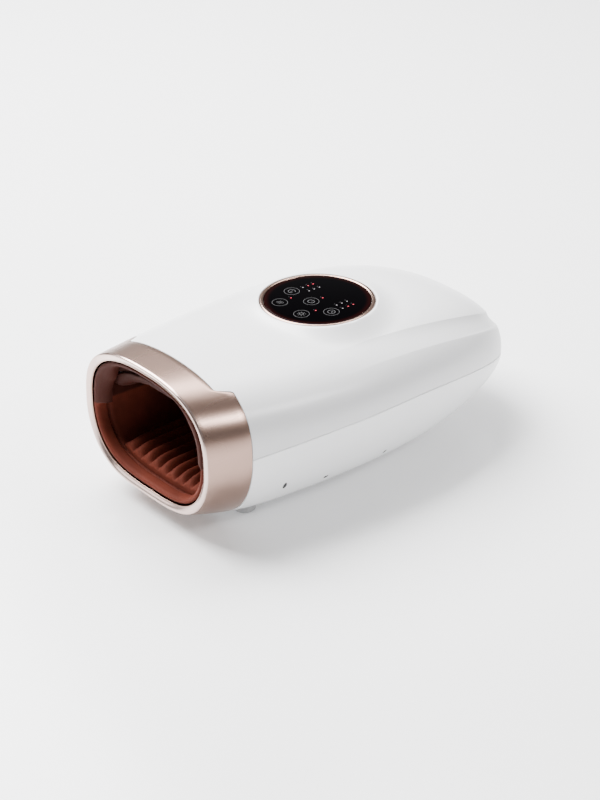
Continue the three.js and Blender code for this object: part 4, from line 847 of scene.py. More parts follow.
def aim(name, data, azimuth, elevation, distance):
    """A camera or lamp that looks at the object's middle. Azimuth 0 is in front of the mouth."""
    a, e = math.radians(azimuth), math.radians(elevation)
    away = Vector((math.sin(a) * math.cos(e), -math.cos(a) * math.cos(e), math.sin(e)))
    aimed = bpy.data.objects.new(name, data)
    aimed.location = away * distance + LOOK_AT
    aimed.rotation_euler = (LOOK_AT - aimed.location).to_track_quat("-Z", "Y").to_euler()
    bpy.context.scene.collection.objects.link(aimed)
    return aimed


class MASSAGER_OT_stage(Operator):
    """Camera, floor and studio lights"""
    bl_idname = "massager.stage"
    bl_label = "Stage"

    def execute(self, context):
        self.camera(context)
        self.floor(context)
        self.lights(context)
        return {"FINISHED"}

    def camera(self, context):
        data = bpy.data.cameras.new("studio_camera")
        data.sensor_fit = "VERTICAL"
        data.sensor_height = SENSOR_MM
        data.lens = LENS_PIXELS / IMAGE_HIGH * SENSOR_MM
        data.shift_x = (IMAGE_WIDE / 2 - PICTURE_CENTRE[0]) / IMAGE_HIGH
        data.shift_y = (PICTURE_CENTRE[1] - IMAGE_HIGH / 2) / IMAGE_HIGH
        data.clip_start, data.clip_end = CLIP
        context.scene.camera = aim("studio_camera", data, *VIEW)

    def floor(self, context):
        points = [(FLOOR_HALF * x, FLOOR_HALF * y, 0) for x, y in ((-1, -1), (1, -1), (1, 1), (-1, 1))]
        floor = make_mesh("studio_floor", points, [(0, 1, 2, 3)], weld=False)
        finish = Finish("studio_floor")
        dust = finish.noise(3, 2)
        tint = tuple(context.scene.massager_colours.floor)
        floor.data.materials.append(finish.surface(
            Base_Color=finish.mix(dust, tint, shade(tint, 0.99)),
            Roughness=0.16 + 0.05 * dust,
            Specular_IOR_Level=0.35,
            Emission_Color=(1, 1, 1, 1),
            Emission_Strength=FLOOR_GLOW,
        ))

    def lights(self, context):
        for name, (azimuth, elevation, far, wide, high, watts) in LIGHTS.items():
            data = bpy.data.lights.new(name, "AREA")
            data.shape = "RECTANGLE"
            data.size = wide
            data.size_y = high
            data.energy = watts
            aim(name, data, azimuth, elevation, far)
        world = bpy.data.worlds.new("studio_air")
        world.use_nodes = True
        air = next(n for n in world.node_tree.nodes if n.type == "BACKGROUND")
        air.inputs["Color"].default_value = (1, 1, 1, 1)
        air.inputs["Strength"].default_value = AIR
        context.scene.world = world


def round_rim(form, grid, inside, up):
    """Rounds the outer edge along the parting line, which lies half a gap off it."""
    case = form.case
    edge = grid[:, -1, :].copy()
    split = form.split(edge[:, 1])
    grid[:, -1, 2] = split + up * (case.gap / 2 + case.rim)
    inside[:, -1, 2] = grid[:, -1, 2]
    spine = np.stack([np.zeros(len(edge)), np.minimum(edge[:, 1], case.widest_at)], axis=1)
    inward = spine - edge[:, :2]
    inward /= np.linalg.norm(inward, axis=1, keepdims=True)
    rim = edge.copy()
    rim[:, :2] += inward * case.rim
    rim[:, 2] = split + up * case.gap / 2
    inner_rim = inside[:, -1, :].copy()
    inner_rim[:, 2] = rim[:, 2]
    return (np.concatenate([grid, rim[:, None, :]], axis=1),
            np.concatenate([inside, inner_rim[:, None, :]], axis=1))


CREASE_FADE = (70 * MM, 215 * MM)
BAND_FLAT = 0.55
TAIL_STEP = 0.3
TAIL_STEP_FADE = (190 * MM, 265 * MM)
CREASE_STEPS, BAND_STEPS, WALL_STEPS = 7, 10, 19
FRONT_STEPS = 41
# Millimetres out from the panel's pocket
COLLAR_STOPS = (0, 0.25, 0.7, 1.3, 2.4, 4, 5.8, 7.8, 10.2, 13, 16.3)
COLLAR_SHARE = 0.6
ROOF_STEPS = 27
POCKET_LEDGE = 4 * MM
SOCKET_HOLE_SHARE = 0.8
SOCKET_HOLE_RUN = (-30 * MM, 30 * MM)


class MASSAGER_OT_upper_case(Operator):
    """White upper case with its creases, collar and socket hole"""
    bl_idname = "massager.upper_case"
    bl_label = "Upper case"

    side_steps = 54
    tail_steps = 116

    def execute(self, context):
        form = CaseForm()
        case = form.case
        hub = np.array([0, case.widest_at, case.split_crown])
        band, band_inside = self.outer_band(form)
        roof, roof_inside = self.inner_roof(form, band[:, 0, :])
        points = np.concatenate([rows_of(band), rows_of(roof)])
        inside = np.concatenate([rows_of(band_inside), rows_of(roof_inside)])
        faces = facing_out(points, grid_faces(*band.shape[:2]), hub)
        inner_faces = grid_faces(*roof.shape[:2], first=band.shape[0] * band.shape[1], closed=True)
        faces = faces + facing_out(points, inner_faces, hub)
        points, faces = walled(points, inside, faces)
        shell = make_mesh("case_top", to_row(points), faces)
        low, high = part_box("charging_socket")
        radius = (high.z - low.z) / 2 * SOCKET_HOLE_SHARE
        place = (0, high.y - FRONT_Y, (low.z + high.z) / 2 - STAND)
        hole = rod("socket_hole", radius, *SOCKET_HOLE_RUN, place, level=True)
        cut(shell, [hole])
        dress(shell, "shell", "white_shell", shell_finish(), "upper_case")
        return {"FINISHED"}

    def outer_band(self, form):
        """From the inner crease out to the parting line, all round."""
        case = form.case
        half = case.crease_half / case.half_wide
        step = half * np.linspace(-1, 1, CREASE_STEPS)
        side = np.sin(quarter_turn(WALL_STEPS)[1:])

        def shares_of(reach):
            first, second = form.creases(reach)
            band = np.linspace(first + half, second - half, BAND_STEPS)[1:-1]
            return np.concatenate([first + step, band, second + step, between(second + half, 1, side)])

        x, y, share, reach = outline_grid(form, shares_of, True, self.side_steps, self.tail_steps)
        grid = stacked(x, y, form.roof_over(x, y))
        normal = grid_normals(grid)
        first, second = (crease[:, None] for crease in form.creases(reach))
        along = np.clip((share - first) / (second - first), 0, 1)
        flat = BAND_FLAT * 4 * along * (1 - along)
        wall = np.clip((1 - share) / (1 - second), 0, 1)
        tail = ease(*TAIL_STEP_FADE, reach)[:, None]
        proud = TAIL_STEP * tail * ease(-half, half, share - second) * wall
        depth = case.crease * ease(*CREASE_FADE, reach)
        inside = inside_of(form, grid, True)
        grid -= normal * (depth[:, None] * (flat - proud))[..., None]
        return round_rim(form, grid, inside, +1)

    def inner_roof(self, form, crease_line):
        """From the crease and the front edge in to the panel's pocket."""
        case, panel = form.case, form.panel
        span = np.linspace(crease_line[-1][0], crease_line[0][0], FRONT_STEPS)[1:-1]
        loop = np.concatenate([crease_line, stacked(span, form.trim_edge(span) + case.gap, 0)])
        centre = np.array([0, panel.centre])
        ray = loop[:, :2] - centre
        far = np.linalg.norm(ray, axis=1, keepdims=True)
        ray /= far
        pocket = panel.glass + panel.ring + case.gap
        near = np.array(COLLAR_STOPS) * MM
        near = pocket + near * np.minimum(1, COLLAR_SHARE * (far - pocket) / near[-1])
        beyond = between(near[:, -1:], far, np.linspace(0, 1, ROOF_STEPS)[1:])
        radius = np.concatenate([near, beyond], axis=1)[:, ::-1]
        plan = centre + ray[:, None, :] * radius[..., None]
        grid = stacked(plan[..., 0], plan[..., 1], form.roof_over(plan[..., 0], plan[..., 1]))
        grid[:, 0, :2] = loop[:, :2]
        grid[: len(crease_line), 0, 2] = crease_line[:, 2]
        plane = form.panel_plane()
        grid[:, -1, 2] = plane - case.rim
        rings = [grid]
        for size in (pocket, panel.glass - POCKET_LEDGE):
            x, y = (centre + ray * size).T
            rings.append(stacked(x, y, plane - panel.high - case.gap)[:, None, :])
        grid = np.concatenate(rings, axis=1)
        return grid, inside_of(form, grid, True)


BELLY_STEPS = 40
BELOW = -10 * MM
RECESS_SHARE = 0.5
# Dark caps in the screw recesses and pits, which paint the shade that falls in them
SHADE_CAP_SHARE = 0.97
SHADE_CAP_SUNK = 0.1 * MM
SHADE_CAP_DEEP = 1 * MM
SHADE_CAP_STEPS = 24
PIT_AT = 89 * MM
PIT_INSET = 10.9 * MM
PIT_RADIUS = 1.7 * MM
PIT_DEEP = 1.2 * MM


class MASSAGER_OT_lower_case(Operator):
    """White lower case with its foot pockets, screw recesses and pits, and dark caps in them that paint their
    shade
    """
    bl_idname = "massager.lower_case"
    bl_label = "Lower case"

    side_steps = 46
    tail_steps = 96

    def execute(self, context):
        form = CaseForm()
        case = form.case
        shares = np.sin(quarter_turn(BELLY_STEPS))
        x, y, share, _ = outline_grid(form, lambda reach: shares, False, self.side_steps, self.tail_steps)
        grid = stacked(x, y, form.height(y, share, False))
        grid, inside = round_rim(form, grid, inside_of(form, grid, False), -1)
        hub = np.array([0, case.widest_at, case.split_crown])
        faces = facing_out(grid, grid_faces(*grid.shape[:2]), hub)
        points, faces = walled(grid, inside, faces)
        shell = make_mesh("case_bottom", to_row(points), faces)
        tools = []
        for number in range(1, 5):
            x, y, radius, _, top = seat(f"foot_{number}")
            tools.append(rod("pocket", radius + case.gap, BELOW, top, (x, y, 0)))
        holes = self.small_holes(form)
        tools += [rod("recess", radius, BELOW, top, (x, y, 0)) for x, y, radius, top in holes]
        cut(shell, tools)
        dress(shell, "shell", "white_shell", bpy.data.materials["white_shell"], "lower_case")
        # Dark caps paint the shade that falls in each screw recess and side pit
        painted_shade_finish = plain_finish("painted_shade_caps", (0.02, 0.02, 0.022), 0.6, 0, *RUBBER_GRAIN)
        for number, (x, y, radius, _) in enumerate(holes, 1):
            dress(self.plug(form, number, x, y, radius * SHADE_CAP_SHARE), "shell", "black_rubber", painted_shade_finish)
        return {"FINISHED"}

    def small_holes(self, form):
        """Place, radius and depth of each screw recess and each side pit."""
        holes = []
        for number in range(1, 7):
            x, y, radius, low, _ = seat(f"case_screw_{number}")
            holes.append((x, y, RECESS_SHARE * radius, low))
        for side in (-1, 1):
            x = side * (form.half_width(PIT_AT) - PIT_INSET)
            skin = float(form.height(PIT_AT, form.share_at(x, PIT_AT), False))
            holes.append((x, PIT_AT, PIT_RADIUS, skin + PIT_DEEP))
        return holes

    def plug(self, form, number, x, y, radius):
        """A small dark cap just inside the case's skin, which paints the shade inside a screw recess or pit.
        """
        ring_x, ring_y = (np.array(circle(radius, SHADE_CAP_STEPS) + [(0, 0)]) + (x, y)).T
        share = form.share_at(np.abs(ring_x) + SHADE_CAP_SUNK, ring_y)
        skin = form.height(ring_y, share, False) + SHADE_CAP_SUNK
        points = [stacked(ring_x, ring_y, height) for height in (skin, skin.max() + SHADE_CAP_DEEP)]
        faces = []
        up = SHADE_CAP_STEPS + 1
        for a in range(SHADE_CAP_STEPS):
            b = (a + 1) % SHADE_CAP_STEPS
            faces += [(b, a, SHADE_CAP_STEPS), (a + up, b + up, SHADE_CAP_STEPS + up), (a, b, b + up, a + up)]
        return make_mesh(f"painted_shade_cap_{number}", to_row(points), faces)


LIP_BORE_ROUND = 0.5 * MM
LIP_ROLL = 1.25
FLANK_SPREAD = 0.85
TRIM_RINGS = 13
TRIM_SHARP = 40


def around(angles, spread=FLANK_SPREAD):
    """Signed shares of the half width at angles round a section."""
    return np.sign(np.cos(angles)) * np.abs(np.cos(angles)) ** spread


class MASSAGER_OT_mouth_trim(Operator):
    """Rose-gold trim with its rolled lip"""
    bl_idname = "massager.mouth_trim"
    bl_label = "Mouth trim"

    steps = 192

    def execute(self, context):
        form = CaseForm()
        angles = np.arange(self.steps) * 2 * math.pi / self.steps
        upper = np.arange(self.steps) <= self.steps // 2
        ring = self.skin(form, around(angles), upper)
        dress(ring, "shell", "rose_gold", trim_finish(), "mouth_trim")
        return {"FINISHED"}

    def lip(self, trim):
        """Depth and inset of the rolled lip: a tight outer nose, a soft crest and the round at the bore."""
        nose = [(trim.nose * (1 - math.sin(q)), trim.nose * (1 - math.cos(q))) for q in quarter_turn(8)]
        crest = [(trim.lip_fall * share ** LIP_ROLL, between(trim.nose, trim.lip - LIP_BORE_ROUND, share))
                 for share in np.linspace(0, 1, 7)[1:]]
        bore = [(trim.lip_fall + LIP_BORE_ROUND * (1 - math.cos(q)),
                 trim.lip - LIP_BORE_ROUND * (1 - math.sin(q))) for q in quarter_turn(6)[1:]]
        return nose + crest + bore

    def ring(self, form, y, inset, turn, upper):
        """The case's section at depths y, drawn in by an inset."""
        share = np.abs(turn)
        above = form.height(y, share, True, inset)
        below = form.height(y, share, False, inset)
        return stacked(turn * (form.half_width(y) - inset), y, np.where(upper, above, below))

    def skin(self, form, turn, upper):
        """The skin from the rear edge round the lip and back along the inside."""
        trim = form.trim
        front = np.zeros(len(turn))
        rear = np.where(upper, form.trim_edge(turn * form.half_width(trim.deep)), trim.deep)
        stops = [(between(trim.nose, rear, share), 0.0) for share in np.linspace(1, 0, TRIM_RINGS)[:-1]]
        stops[0] = (rear, form.case.rim)
        stops += [(front + depth, inset) for depth, inset in self.lip(trim)]
        stops += [(front + trim.lip_deep, trim.lip), (front + trim.lip_deep + trim.wall / 2, trim.wall)]
        stops += [(rear, trim.wall)]
        rings = [self.ring(form, y, inset, turn, upper) for y, inset in stops]
        return loft("mouth_ring", rings, TRIM_SHARP)


LINER_LIP_GAP = 0.4 * MM
ARCH_POINTS = 57


class ChamberForm:
    """The lined chamber's section, which narrows from the lip to its end wall."""

    def __init__(self, form):
        self.form = form
        self.room = bpy.context.scene.massager_chamber

    def sizes(self, y):
        form, room = self.form, self.room
        share = y / room.deep
        inset = form.trim.lip + LINER_LIP_GAP
        half = between(form.case.mouth_half - inset, room.end_half, share)
        roof = form.roof(y) - inset - room.roof_fall * share
        floor = between(form.case.front_rise + inset, room.end_floor, share)
        middle = between(form.case.split_mouth, room.end_mid, share)
        return half, roof, floor, middle

    def height(self, y, x, upper, inset):
        half, roof, floor, middle = self.sizes(y)
        share = np.clip(np.abs(x) / (half - inset), 0, 1)
        above = (roof - inset - middle) * arched(share, ROOF_FULLNESS[0], ROOF_SHOULDER[0])
        below = (middle - floor - inset) * arched(share, BELLY_FULLNESS[0], BELLY_SHOULDER[0])
        return np.where(upper, middle + above, middle - below)

    def ring(self, y, inset, turn, upper):
        """The section at depth y, drawn in by an inset, at places round it."""
        x = turn * (self.sizes(y)[0] - inset)
        return stacked(x, y, self.height(y, x, upper, inset))

    def reach(self, y, height, side, drop):
        """How far out an arch, drawn in at the sides and from the roof, comes down to a height."""
        half, roof, _, middle = self.sizes(y)
        fall = ((height - middle) / (roof - drop - middle)) ** ROOF_SHOULDER[0]
        return (half - side) * (1 - fall) ** (1 / ROOF_FULLNESS[0])

    def arch(self, y, edge, side, drop):
        """That arch's points from its left edge to its right one, both at the height edge."""
        half, roof, _, middle = self.sizes(y)
        x = -self.reach(y, edge, side, drop) * np.cos(np.linspace(0, math.pi, ARCH_POINTS))
        share = np.clip(np.abs(x) / (half - side), 0, 1)
        kept = arched(share, ROOF_FULLNESS[0], ROOF_SHOULDER[0])
        return stacked(x, y, middle + (roof - drop - middle) * kept)


LINER_FRONT = 1.9 * MM
LINER_NOSE = 0.8 * MM
BAND_STEP = 1.6 * MM
FOLD_DEGREES = (0, 0.3, 0.6, 1, 1.4, 2)
FLANK_DEGREES = (3, 90, 40)
FLANK_ROLL = 6 * MM
FLANK_FADE = (30, 58)
# On the plain band and at the middle of a flank roll
FRONT_ROUND = (2.6 * MM, 7.4 * MM)
REAR_ROUND = (2.4 * MM, 0.9 * MM)
END_ROUND = 6 * MM
END_SHARES = (0.25, 0.5, 0.75, 0.97)
END_HUB_DROP = 2 * MM
TROUGH_SPREAD = 0.8
TROUGH_CLOTH = 0.9
EDGE_ROOM = 6 * MM
EDGE_TUCK = 1 * MM
LINING_SHARP = 60
PADDED_SHARP = 70


class MASSAGER_OT_lining(Operator):
    """Cloth lining: the smooth band at the mouth and the trough behind it"""
    bl_idname = "massager.lining"
    bl_label = "Chamber lining"

    steps = 160

    def execute(self, context):
        form = CaseForm()
        chamber = ChamberForm(form)
        band = self.band(chamber)
        trough = self.trough(chamber)
        tint = tuple(context.scene.massager_colours.cloth)
        # Above the fold's height the lining is darker, which paints the shade in the chamber's upper part
        finish = cloth_finish("lining_cloth", tint, form.case.split_mouth + STAND)
        dress(band, "shell", "lining_cloth", finish, "chamber_lining")
        dress(trough, "shell", "lining_cloth", finish)
        return {"FINISHED"}

    def band(self, chamber):
        """A soft funnel behind the lip, with a padded roll on each flank above its fold."""
        room = chamber.room
        quarter = np.radians(np.concatenate([FOLD_DEGREES, np.linspace(*FLANK_DEGREES)]))
        half = np.concatenate([quarter, (math.pi - quarter[:-1])[::-1]])
        below = -np.linspace(0, math.pi, self.steps // 2)[1:-1][::-1]
        angles = np.concatenate([half, below])
        upper = np.sin(angles) >= 0
        steep = np.degrees(np.arcsin(np.clip(np.sin(half), 0, 1)))
        roll = np.zeros(len(angles))
        roll[: len(half)] = ease(0, 1, steep) * (1 - ease(*FLANK_FADE, steep))
        thick = room.cloth + BAND_STEP + FLANK_ROLL * roll
        end = room.band + BAND_STEP
        deep, back = between(*FRONT_ROUND, roll), between(*REAR_ROUND, roll)
        stops = [(end, 0.0), (LINER_FRONT + LINER_NOSE, 0.0), (LINER_FRONT, LINER_NOSE)]
        quarter = quarter_turn(7)
        stops += [(LINER_FRONT + deep * (1 - math.cos(q)), between(LINER_NOSE, thick, math.sin(q)))
                  for q in quarter[1:]]
        stops += [(end - back * (1 - math.sin(q)), between(thick, room.cloth, 1 - math.cos(q)))
                  for q in quarter]
        rings = [chamber.ring(y, inset, around(angles), upper) for y, inset in stops]
        return loft("lining_band", rings, LINING_SHARP)

    def trough(self, chamber):
        """Sides, floor and end wall up to the cushions' edges, with a rounded end."""
        room = chamber.room
        stops = [(y, room.cloth) for y in np.linspace(room.band + BAND_STEP, room.deep - END_ROUND, 36)]
        stops += [(room.deep - END_ROUND * (1 - math.sin(q)), room.cloth + END_ROUND * (1 - math.cos(q)))
                  for q in quarter_turn(8)[1:]]
        rows = [self.open_section(chamber, y, inset) for y, inset in stops]
        hub = np.array([0, room.deep, room.edge - END_HUB_DROP])
        rows += [between(rows[-1], hub, share) for share in END_SHARES]
        faces = grid_faces(len(rows), len(rows[0]))
        trough = make_mesh("lining_trough", to_row(rows), faces, sharp=LINING_SHARP)
        modify(trough, "SOLIDIFY", thickness=room.cloth * TROUGH_CLOTH, offset=1)
        return settle(trough)

    def open_section(self, chamber, y, inset):
        """From the left edge down round the floor to the right edge."""
        half, roof, _, middle = chamber.sizes(y)
        edge = min(chamber.room.edge, float(roof) - EDGE_ROOM) - EDGE_TUCK
        heights = between(edge, middle, np.linspace(0, 1, 9)[:-1])
        wall = stacked(chamber.reach(y, heights, inset, inset), y, heights)
        x = around(np.linspace(0, math.pi, 65), TROUGH_SPREAD) * (half - inset)
        belly = stacked(x, y, chamber.height(y, x, False, inset))
        return np.concatenate([wall * (-1, 1, 1), belly[::-1], wall[::-1]])


def swelling(share):
    """A soft end's fullness, round like a quarter circle, at a share of its length."""
    return np.sqrt(np.maximum(0, 1 - (1 - np.clip(share, 0, 1)) ** 2))


def soft_ends(front, rear, soft, end_steps, steps):
    """Depths from front to rear, close together where the ends round off."""
    near = soft * (1 - np.cos(quarter_turn(end_steps)))
    middle = np.linspace(front + soft, rear - soft, steps)[1:-1]
    return np.concatenate([front + near, middle, (rear - near)[::-1]])


PAD_END = 12 * MM
PAD_LIFT = 0.4 * MM
PAD_BODY = 6 * MM
# Share of the thickness that is left at the sides, and at the ends
PAD_THIN = (0.25, 0.4)
# How late the body and the ribs fall off towards the sides
PAD_EDGE_POWERS = (6, 12)
RIB_STEPS = 16
RIB_FULLNESS = 0.55
PUCKER = 0.05
PUCKER_RUN = 3.4 * MM


class MASSAGER_OT_floor_pad(Operator):
    """Ribbed and padded cloth floor"""
    bl_idname = "massager.floor_pad"
    bl_label = "Ribbed floor pad"

    def execute(self, context):
        chamber = ChamberForm(CaseForm())
        room = chamber.room
        rear = room.deep - room.pad_gap
        xs = np.linspace(-1, 1, room.ribs * RIB_STEPS + 1) * room.pad_half
        x, y = np.meshgrid(xs, soft_ends(room.pad_front, rear, PAD_END, 12, 26))
        under = chamber.height(y, x, False, room.cloth + PAD_LIFT)
        top = stacked(x, y, under + self.plump(room, x, y, rear))
        points, faces = walled(top, stacked(x, y, under), grid_faces(*x.shape, flip=True))
        pad = make_mesh("ribbed_pad", to_row(points), faces, sharp=PADDED_SHARP)
        tint = tuple(context.scene.massager_colours.cloth)
        # A lighter copy of the lining cloth, which paints the light that falls on the chamber's floor
        dress(pad, "shell", "lining_cloth", cloth_finish("pad_cloth_painted_light", shade(tint, 1.1)), "floor_pad")
        return {"FINISHED"}

    def plump(self, room, x, y, rear):
        """Thickness of the pad: a soft body and rounded ribs that die out at both ends."""
        end = swelling(np.minimum(y - room.pad_front, rear - y) / PAD_END)
        out = np.abs(x) / room.pad_half
        body_power, rib_power = PAD_EDGE_POWERS
        edge = np.sqrt(np.maximum(0, 1 - out ** body_power))
        body = PAD_BODY * between(PAD_THIN[0], 1, edge * between(PAD_THIN[1], 1, end))
        wave = (1 + np.cos(math.pi * room.ribs * x / room.pad_half)) / 2
        pucker = 1 + PUCKER * np.sin(y / PUCKER_RUN) * (1 - wave)
        return body + room.rib * wave ** RIB_FULLNESS * end * (1 - out ** rib_power) * pucker


# Share of the lining's colour on the cushions: darker colour that paints the shade under the chamber's roof
CUSHION_PAINTED_SHADE = 0.24
CUSHION_SIDE = 3.2 * MM
CUSHION_DROP = 9.6 * MM
CUSHION_THICK = 10 * MM
CUSHION_END = 7 * MM
CUSHION_THIN = 0.35
CUSHION_EDGE = 66 * MM
EDGE_FALL = 10 * MM
CHANNEL_AT = 13 * MM
CHANNEL_HALF = 3 * MM
CHANNEL_DEEP = 2 * MM
CHANNEL_FADE = 8 * MM
UNDER_FACING = -0.6
# From the mouth band to the cushion's front edge
GUSSET_RUN = (9.8 * MM, 13.8 * MM)
GUSSET_SIDE = (1.6 * MM, 3.2 * MM)
GUSSET_DROP = (2 * MM, 9 * MM)
GUSSET_EDGE = 67 * MM
GUSSET_THICK = 0.6 * MM


class MASSAGER_OT_cushions(Operator):
    """Two padded press cushions with sewn channels"""
    bl_idname = "massager.cushions"
    bl_label = "Press cushions"

    def execute(self, context):
        chamber = ChamberForm(CaseForm())
        tint = tuple(context.scene.massager_colours.cloth)
        # The cushions and the gusset get darker cloth, which paints the shade under the chamber's roof
        finish = cloth_finish("cushion_cloth_painted_shade", shade(tint, CUSHION_PAINTED_SHADE))
        for node, body, name in (("hand_cushion", "hand_press", "cushion_hand"),
                                 ("finger_cushion", "finger_press", "cushion_finger")):
            low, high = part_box(node)
            pad = self.cushion(chamber, name, low.y - FRONT_Y, high.y - FRONT_Y)
            swell(pad)
            self.stitch(pad, low.y, high.y)
            dress(pad, body, "lining_cloth", finish, node)
        self.gusset(chamber, finish)
        return {"FINISHED"}

    def gusset(self, chamber, finish):
        """A soft gusset from the mouth band to the hand cushion's front edge."""
        grid = np.array([chamber.arch(between(*GUSSET_RUN, share), GUSSET_EDGE,
                                      between(*GUSSET_SIDE, share), between(*GUSSET_DROP, share))
                         for share in np.linspace(0, 1, 9)])
        points, faces = walled(grid, grid - (0, 0, GUSSET_THICK), grid_faces(*grid.shape[:2]))
        gusset = make_mesh("cushion_gusset", to_row(points), faces, sharp=PADDED_SHARP)
        gusset.data.materials.append(finish)
        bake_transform(gusset)

    def cushion(self, chamber, name, front, rear):
        """A plump pad under an arch. The cloth run fills what is held back here."""
        thick = CUSHION_THICK - SWELL_CAP
        rings = []
        for y in soft_ends(front, rear, CUSHION_END, 10, 22):
            plump = between(CUSHION_THIN, 1, swelling(min(y - front, rear - y) / CUSHION_END))
            edge = CUSHION_EDGE - EDGE_FALL * y / chamber.room.deep + (1 - plump) * CUSHION_END / 2
            full = thick * plump
            under = chamber.arch(y, edge, CUSHION_SIDE + full, CUSHION_DROP + full)
            over = chamber.arch(y, edge, CUSHION_SIDE, CUSHION_DROP)
            rings.append(np.concatenate([under, over[::-1]]))
        rows, columns = len(rings), len(rings[0])
        faces = ring_faces(rows, columns, closed=False)
        for first, flip in ((0, False), ((rows - 1) * columns, True)):
            for c in range(columns // 2 - 1):
                far = first + columns - 1 - c
                quad = (first + c, far, far - 1, first + c + 1)
                faces.append(quad[::-1] if flip else quad)
        return make_mesh(name, to_row(rings), faces, sharp=PADDED_SHARP)

    def stitch(self, pad, front, rear):
        """Pulls two sewn channels up into the pad's underside."""
        places, facing = coordinates(pad)
        channel = np.exp(-((np.abs(places[:, 0]) - CHANNEL_AT) / CHANNEL_HALF) ** 2)
        near = np.minimum(places[:, 1] - front, rear - places[:, 1])
        below = ease(0, UNDER_FACING, facing[:, 2])
        places[:, 2] += CHANNEL_DEEP * channel * ease(0, CHANNEL_FADE, near) * below
        place_points(pad, places)


RIM_GAP = 0.3 * MM
RIM_CROWN = 0.7 * MM
GLASS_SINK = 0.4 * MM
PRINT_LIFT = 0.01 * MM
LAMP_LIFT = 0.012 * MM
DIM_LAMP = (0.16, 0.15, 0.155)
PANEL_SHARP = 35
PRINT_SHARP = 20


class MASSAGER_OT_panel(Operator):
    """Metal ring, glass, print and lamps of the touch panel"""
    bl_idname = "massager.panel"
    bl_label = "Touch panel"

    def execute(self, context):
        form = CaseForm()
        panel = form.panel
        base = form.panel_plane() - panel.high + form.case.gap
        top = base + panel.high
        inner, outer = panel.glass + RIM_GAP, panel.glass + panel.ring
        crown = [((inner + outer) / 2 + (outer - inner) / 2 * math.cos(q),
                  top - RIM_CROWN * (1 - math.sin(q))) for q in np.linspace(0, math.pi, 13)]
        ring = self.lathe("panel_rim", [(inner, base), (outer, base)] + crown, closed=True)
        dress(ring, "shell", "rose_gold", rim_finish(), "panel_ring")
        level = top - GLASS_SINK
        edge = [(panel.glass - GLASS_SINK * (1 - math.cos(q)), level - GLASS_SINK * (1 - math.sin(q)))
                for q in quarter_turn(6)]
        glass = self.lathe("panel_face", [(0, base), (panel.glass, base)] + edge + [(0, level)])
        dress(glass, "shell", "black_glass", glass_finish(), "panel_glass")
        self.graphics(context, level)
        return {"FINISHED"}

    def lathe(self, name, profile, closed=False, steps=160):
        centre = CaseForm().panel.centre
        points, faces = [], []
        count = len(profile)
        for i in range(steps):
            angle = 2 * math.pi * i / steps
            points += [(r * math.cos(angle), centre + r * math.sin(angle), z) for r, z in profile]
        for i in range(steps):
            n = (i + 1) % steps
            for k in range(count if closed else count - 1):
                m = (k + 1) % count
                faces.append((i * count + k, n * count + k, n * count + m, i * count + m))
        return make_mesh(name, to_row(points), faces, sharp=PANEL_SHARP)

    def graphics(self, context, level):
        """Thin print and lamps, a hair above the glass."""
        colours = context.scene.massager_colours
        centre = CaseForm().panel.centre
        pen = Pen(level + PRINT_LIFT, centre)
        for number, (x, y) in enumerate(KEYS):
            pen.ring(x, y, KEY_RADIUS, KEY_LINE)
            KEY_SIGNS[number](pen, x, y)
        for x, y, _ in LAMPS:
            pen.stroke([(x - DASH_BESIDE, y - LAMP_RADIUS), (x - DASH_BESIDE, y + LAMP_RADIUS)], DASH_LINE)
        prints = pen.finish("panel_print")
        dress(prints, "shell", "black_glass", print_finish("panel_print", tuple(colours.print), 0.15))
        for name, wanted, tint, glow in (("panel_lamps_lit", True, tuple(colours.lamp), 0.5),
                                         ("panel_lamps_dim", False, DIM_LAMP, 0.05)):
            pen = Pen(level + LAMP_LIFT, centre)
            for x, y, lit in LAMPS:
                if lit == wanted:
                    pen.disc(x, y, LAMP_RADIUS)
            lamps = pen.finish(name)
            dress(lamps, "shell", "black_glass", print_finish(name, tint, glow))


PLATE_MM = 0.03
LAMP_RADIUS = 0.5
DASH_BESIDE, DASH_LINE = 1.9, 0.16


class Pen:
    """Draws thin flat shapes, in millimetres from the panel's centre."""

    def __init__(self, level, centre):
        self.level, self.centre = level, centre
        self.points, self.faces = [], []

    def fan(self, outline):
        """A closed outline as one thin plate."""
        first, count = len(self.points), len(outline)
        for lift in (0, PLATE_MM):
            self.points += [(x * MM, self.centre + y * MM, self.level + lift * MM) for x, y in outline]
        self.faces += prism(first, count)

    def disc(self, x, y, radius, steps=20):
        self.fan([(x + a, y + b) for a, b in circle(radius, steps)])

    def stroke(self, places, width):
        """Straight strokes with square ends from place to place."""
        for (ax, ay), (bx, by) in zip(places, places[1:]):
            far = math.hypot(bx - ax, by - ay)
            nx, ny = (ay - by) / far * width / 2, (bx - ax) / far * width / 2
            self.fan([(ax - nx, ay - ny), (bx - nx, by - ny), (bx + nx, by + ny), (ax + nx, ay + ny)])

    def arc(self, x, y, radius, start, end, width, steps=24):
        turn = [math.radians(between(start, end, i / steps)) for i in range(steps + 1)]
        self.stroke([(x + radius * math.cos(t), y + radius * math.sin(t)) for t in turn], width)

    def ring(self, x, y, radius, width):
        self.arc(x, y, radius, 0, 360, width, 48)

    def finish(self, name):
        return make_mesh(name, to_row(self.points), self.faces, weld=False, sharp=PRINT_SHARP)


def mode_sign(pen, x, y):
    pen.arc(x, y, 2.3, 30, 330, 0.4)
    pen.stroke([(x, y - 1.1), (x, y + 1.1)], 0.4)


def heat_sign(pen, x, y):
    for step in (-1.4, 0, 1.4):
        pen.arc(x + step - 0.4, y + 0.9, 1, -60, 60, 0.34, 8)
        pen.arc(x + step + 0.55, y - 0.8, 1, 120, 240, 0.34, 8)


def power_sign(pen, x, y):
    pen.arc(x, y, 2.2, 125, 415, 0.42)
    pen.stroke([(x, y + 0.3), (x, y + 2.8)], 0.42)


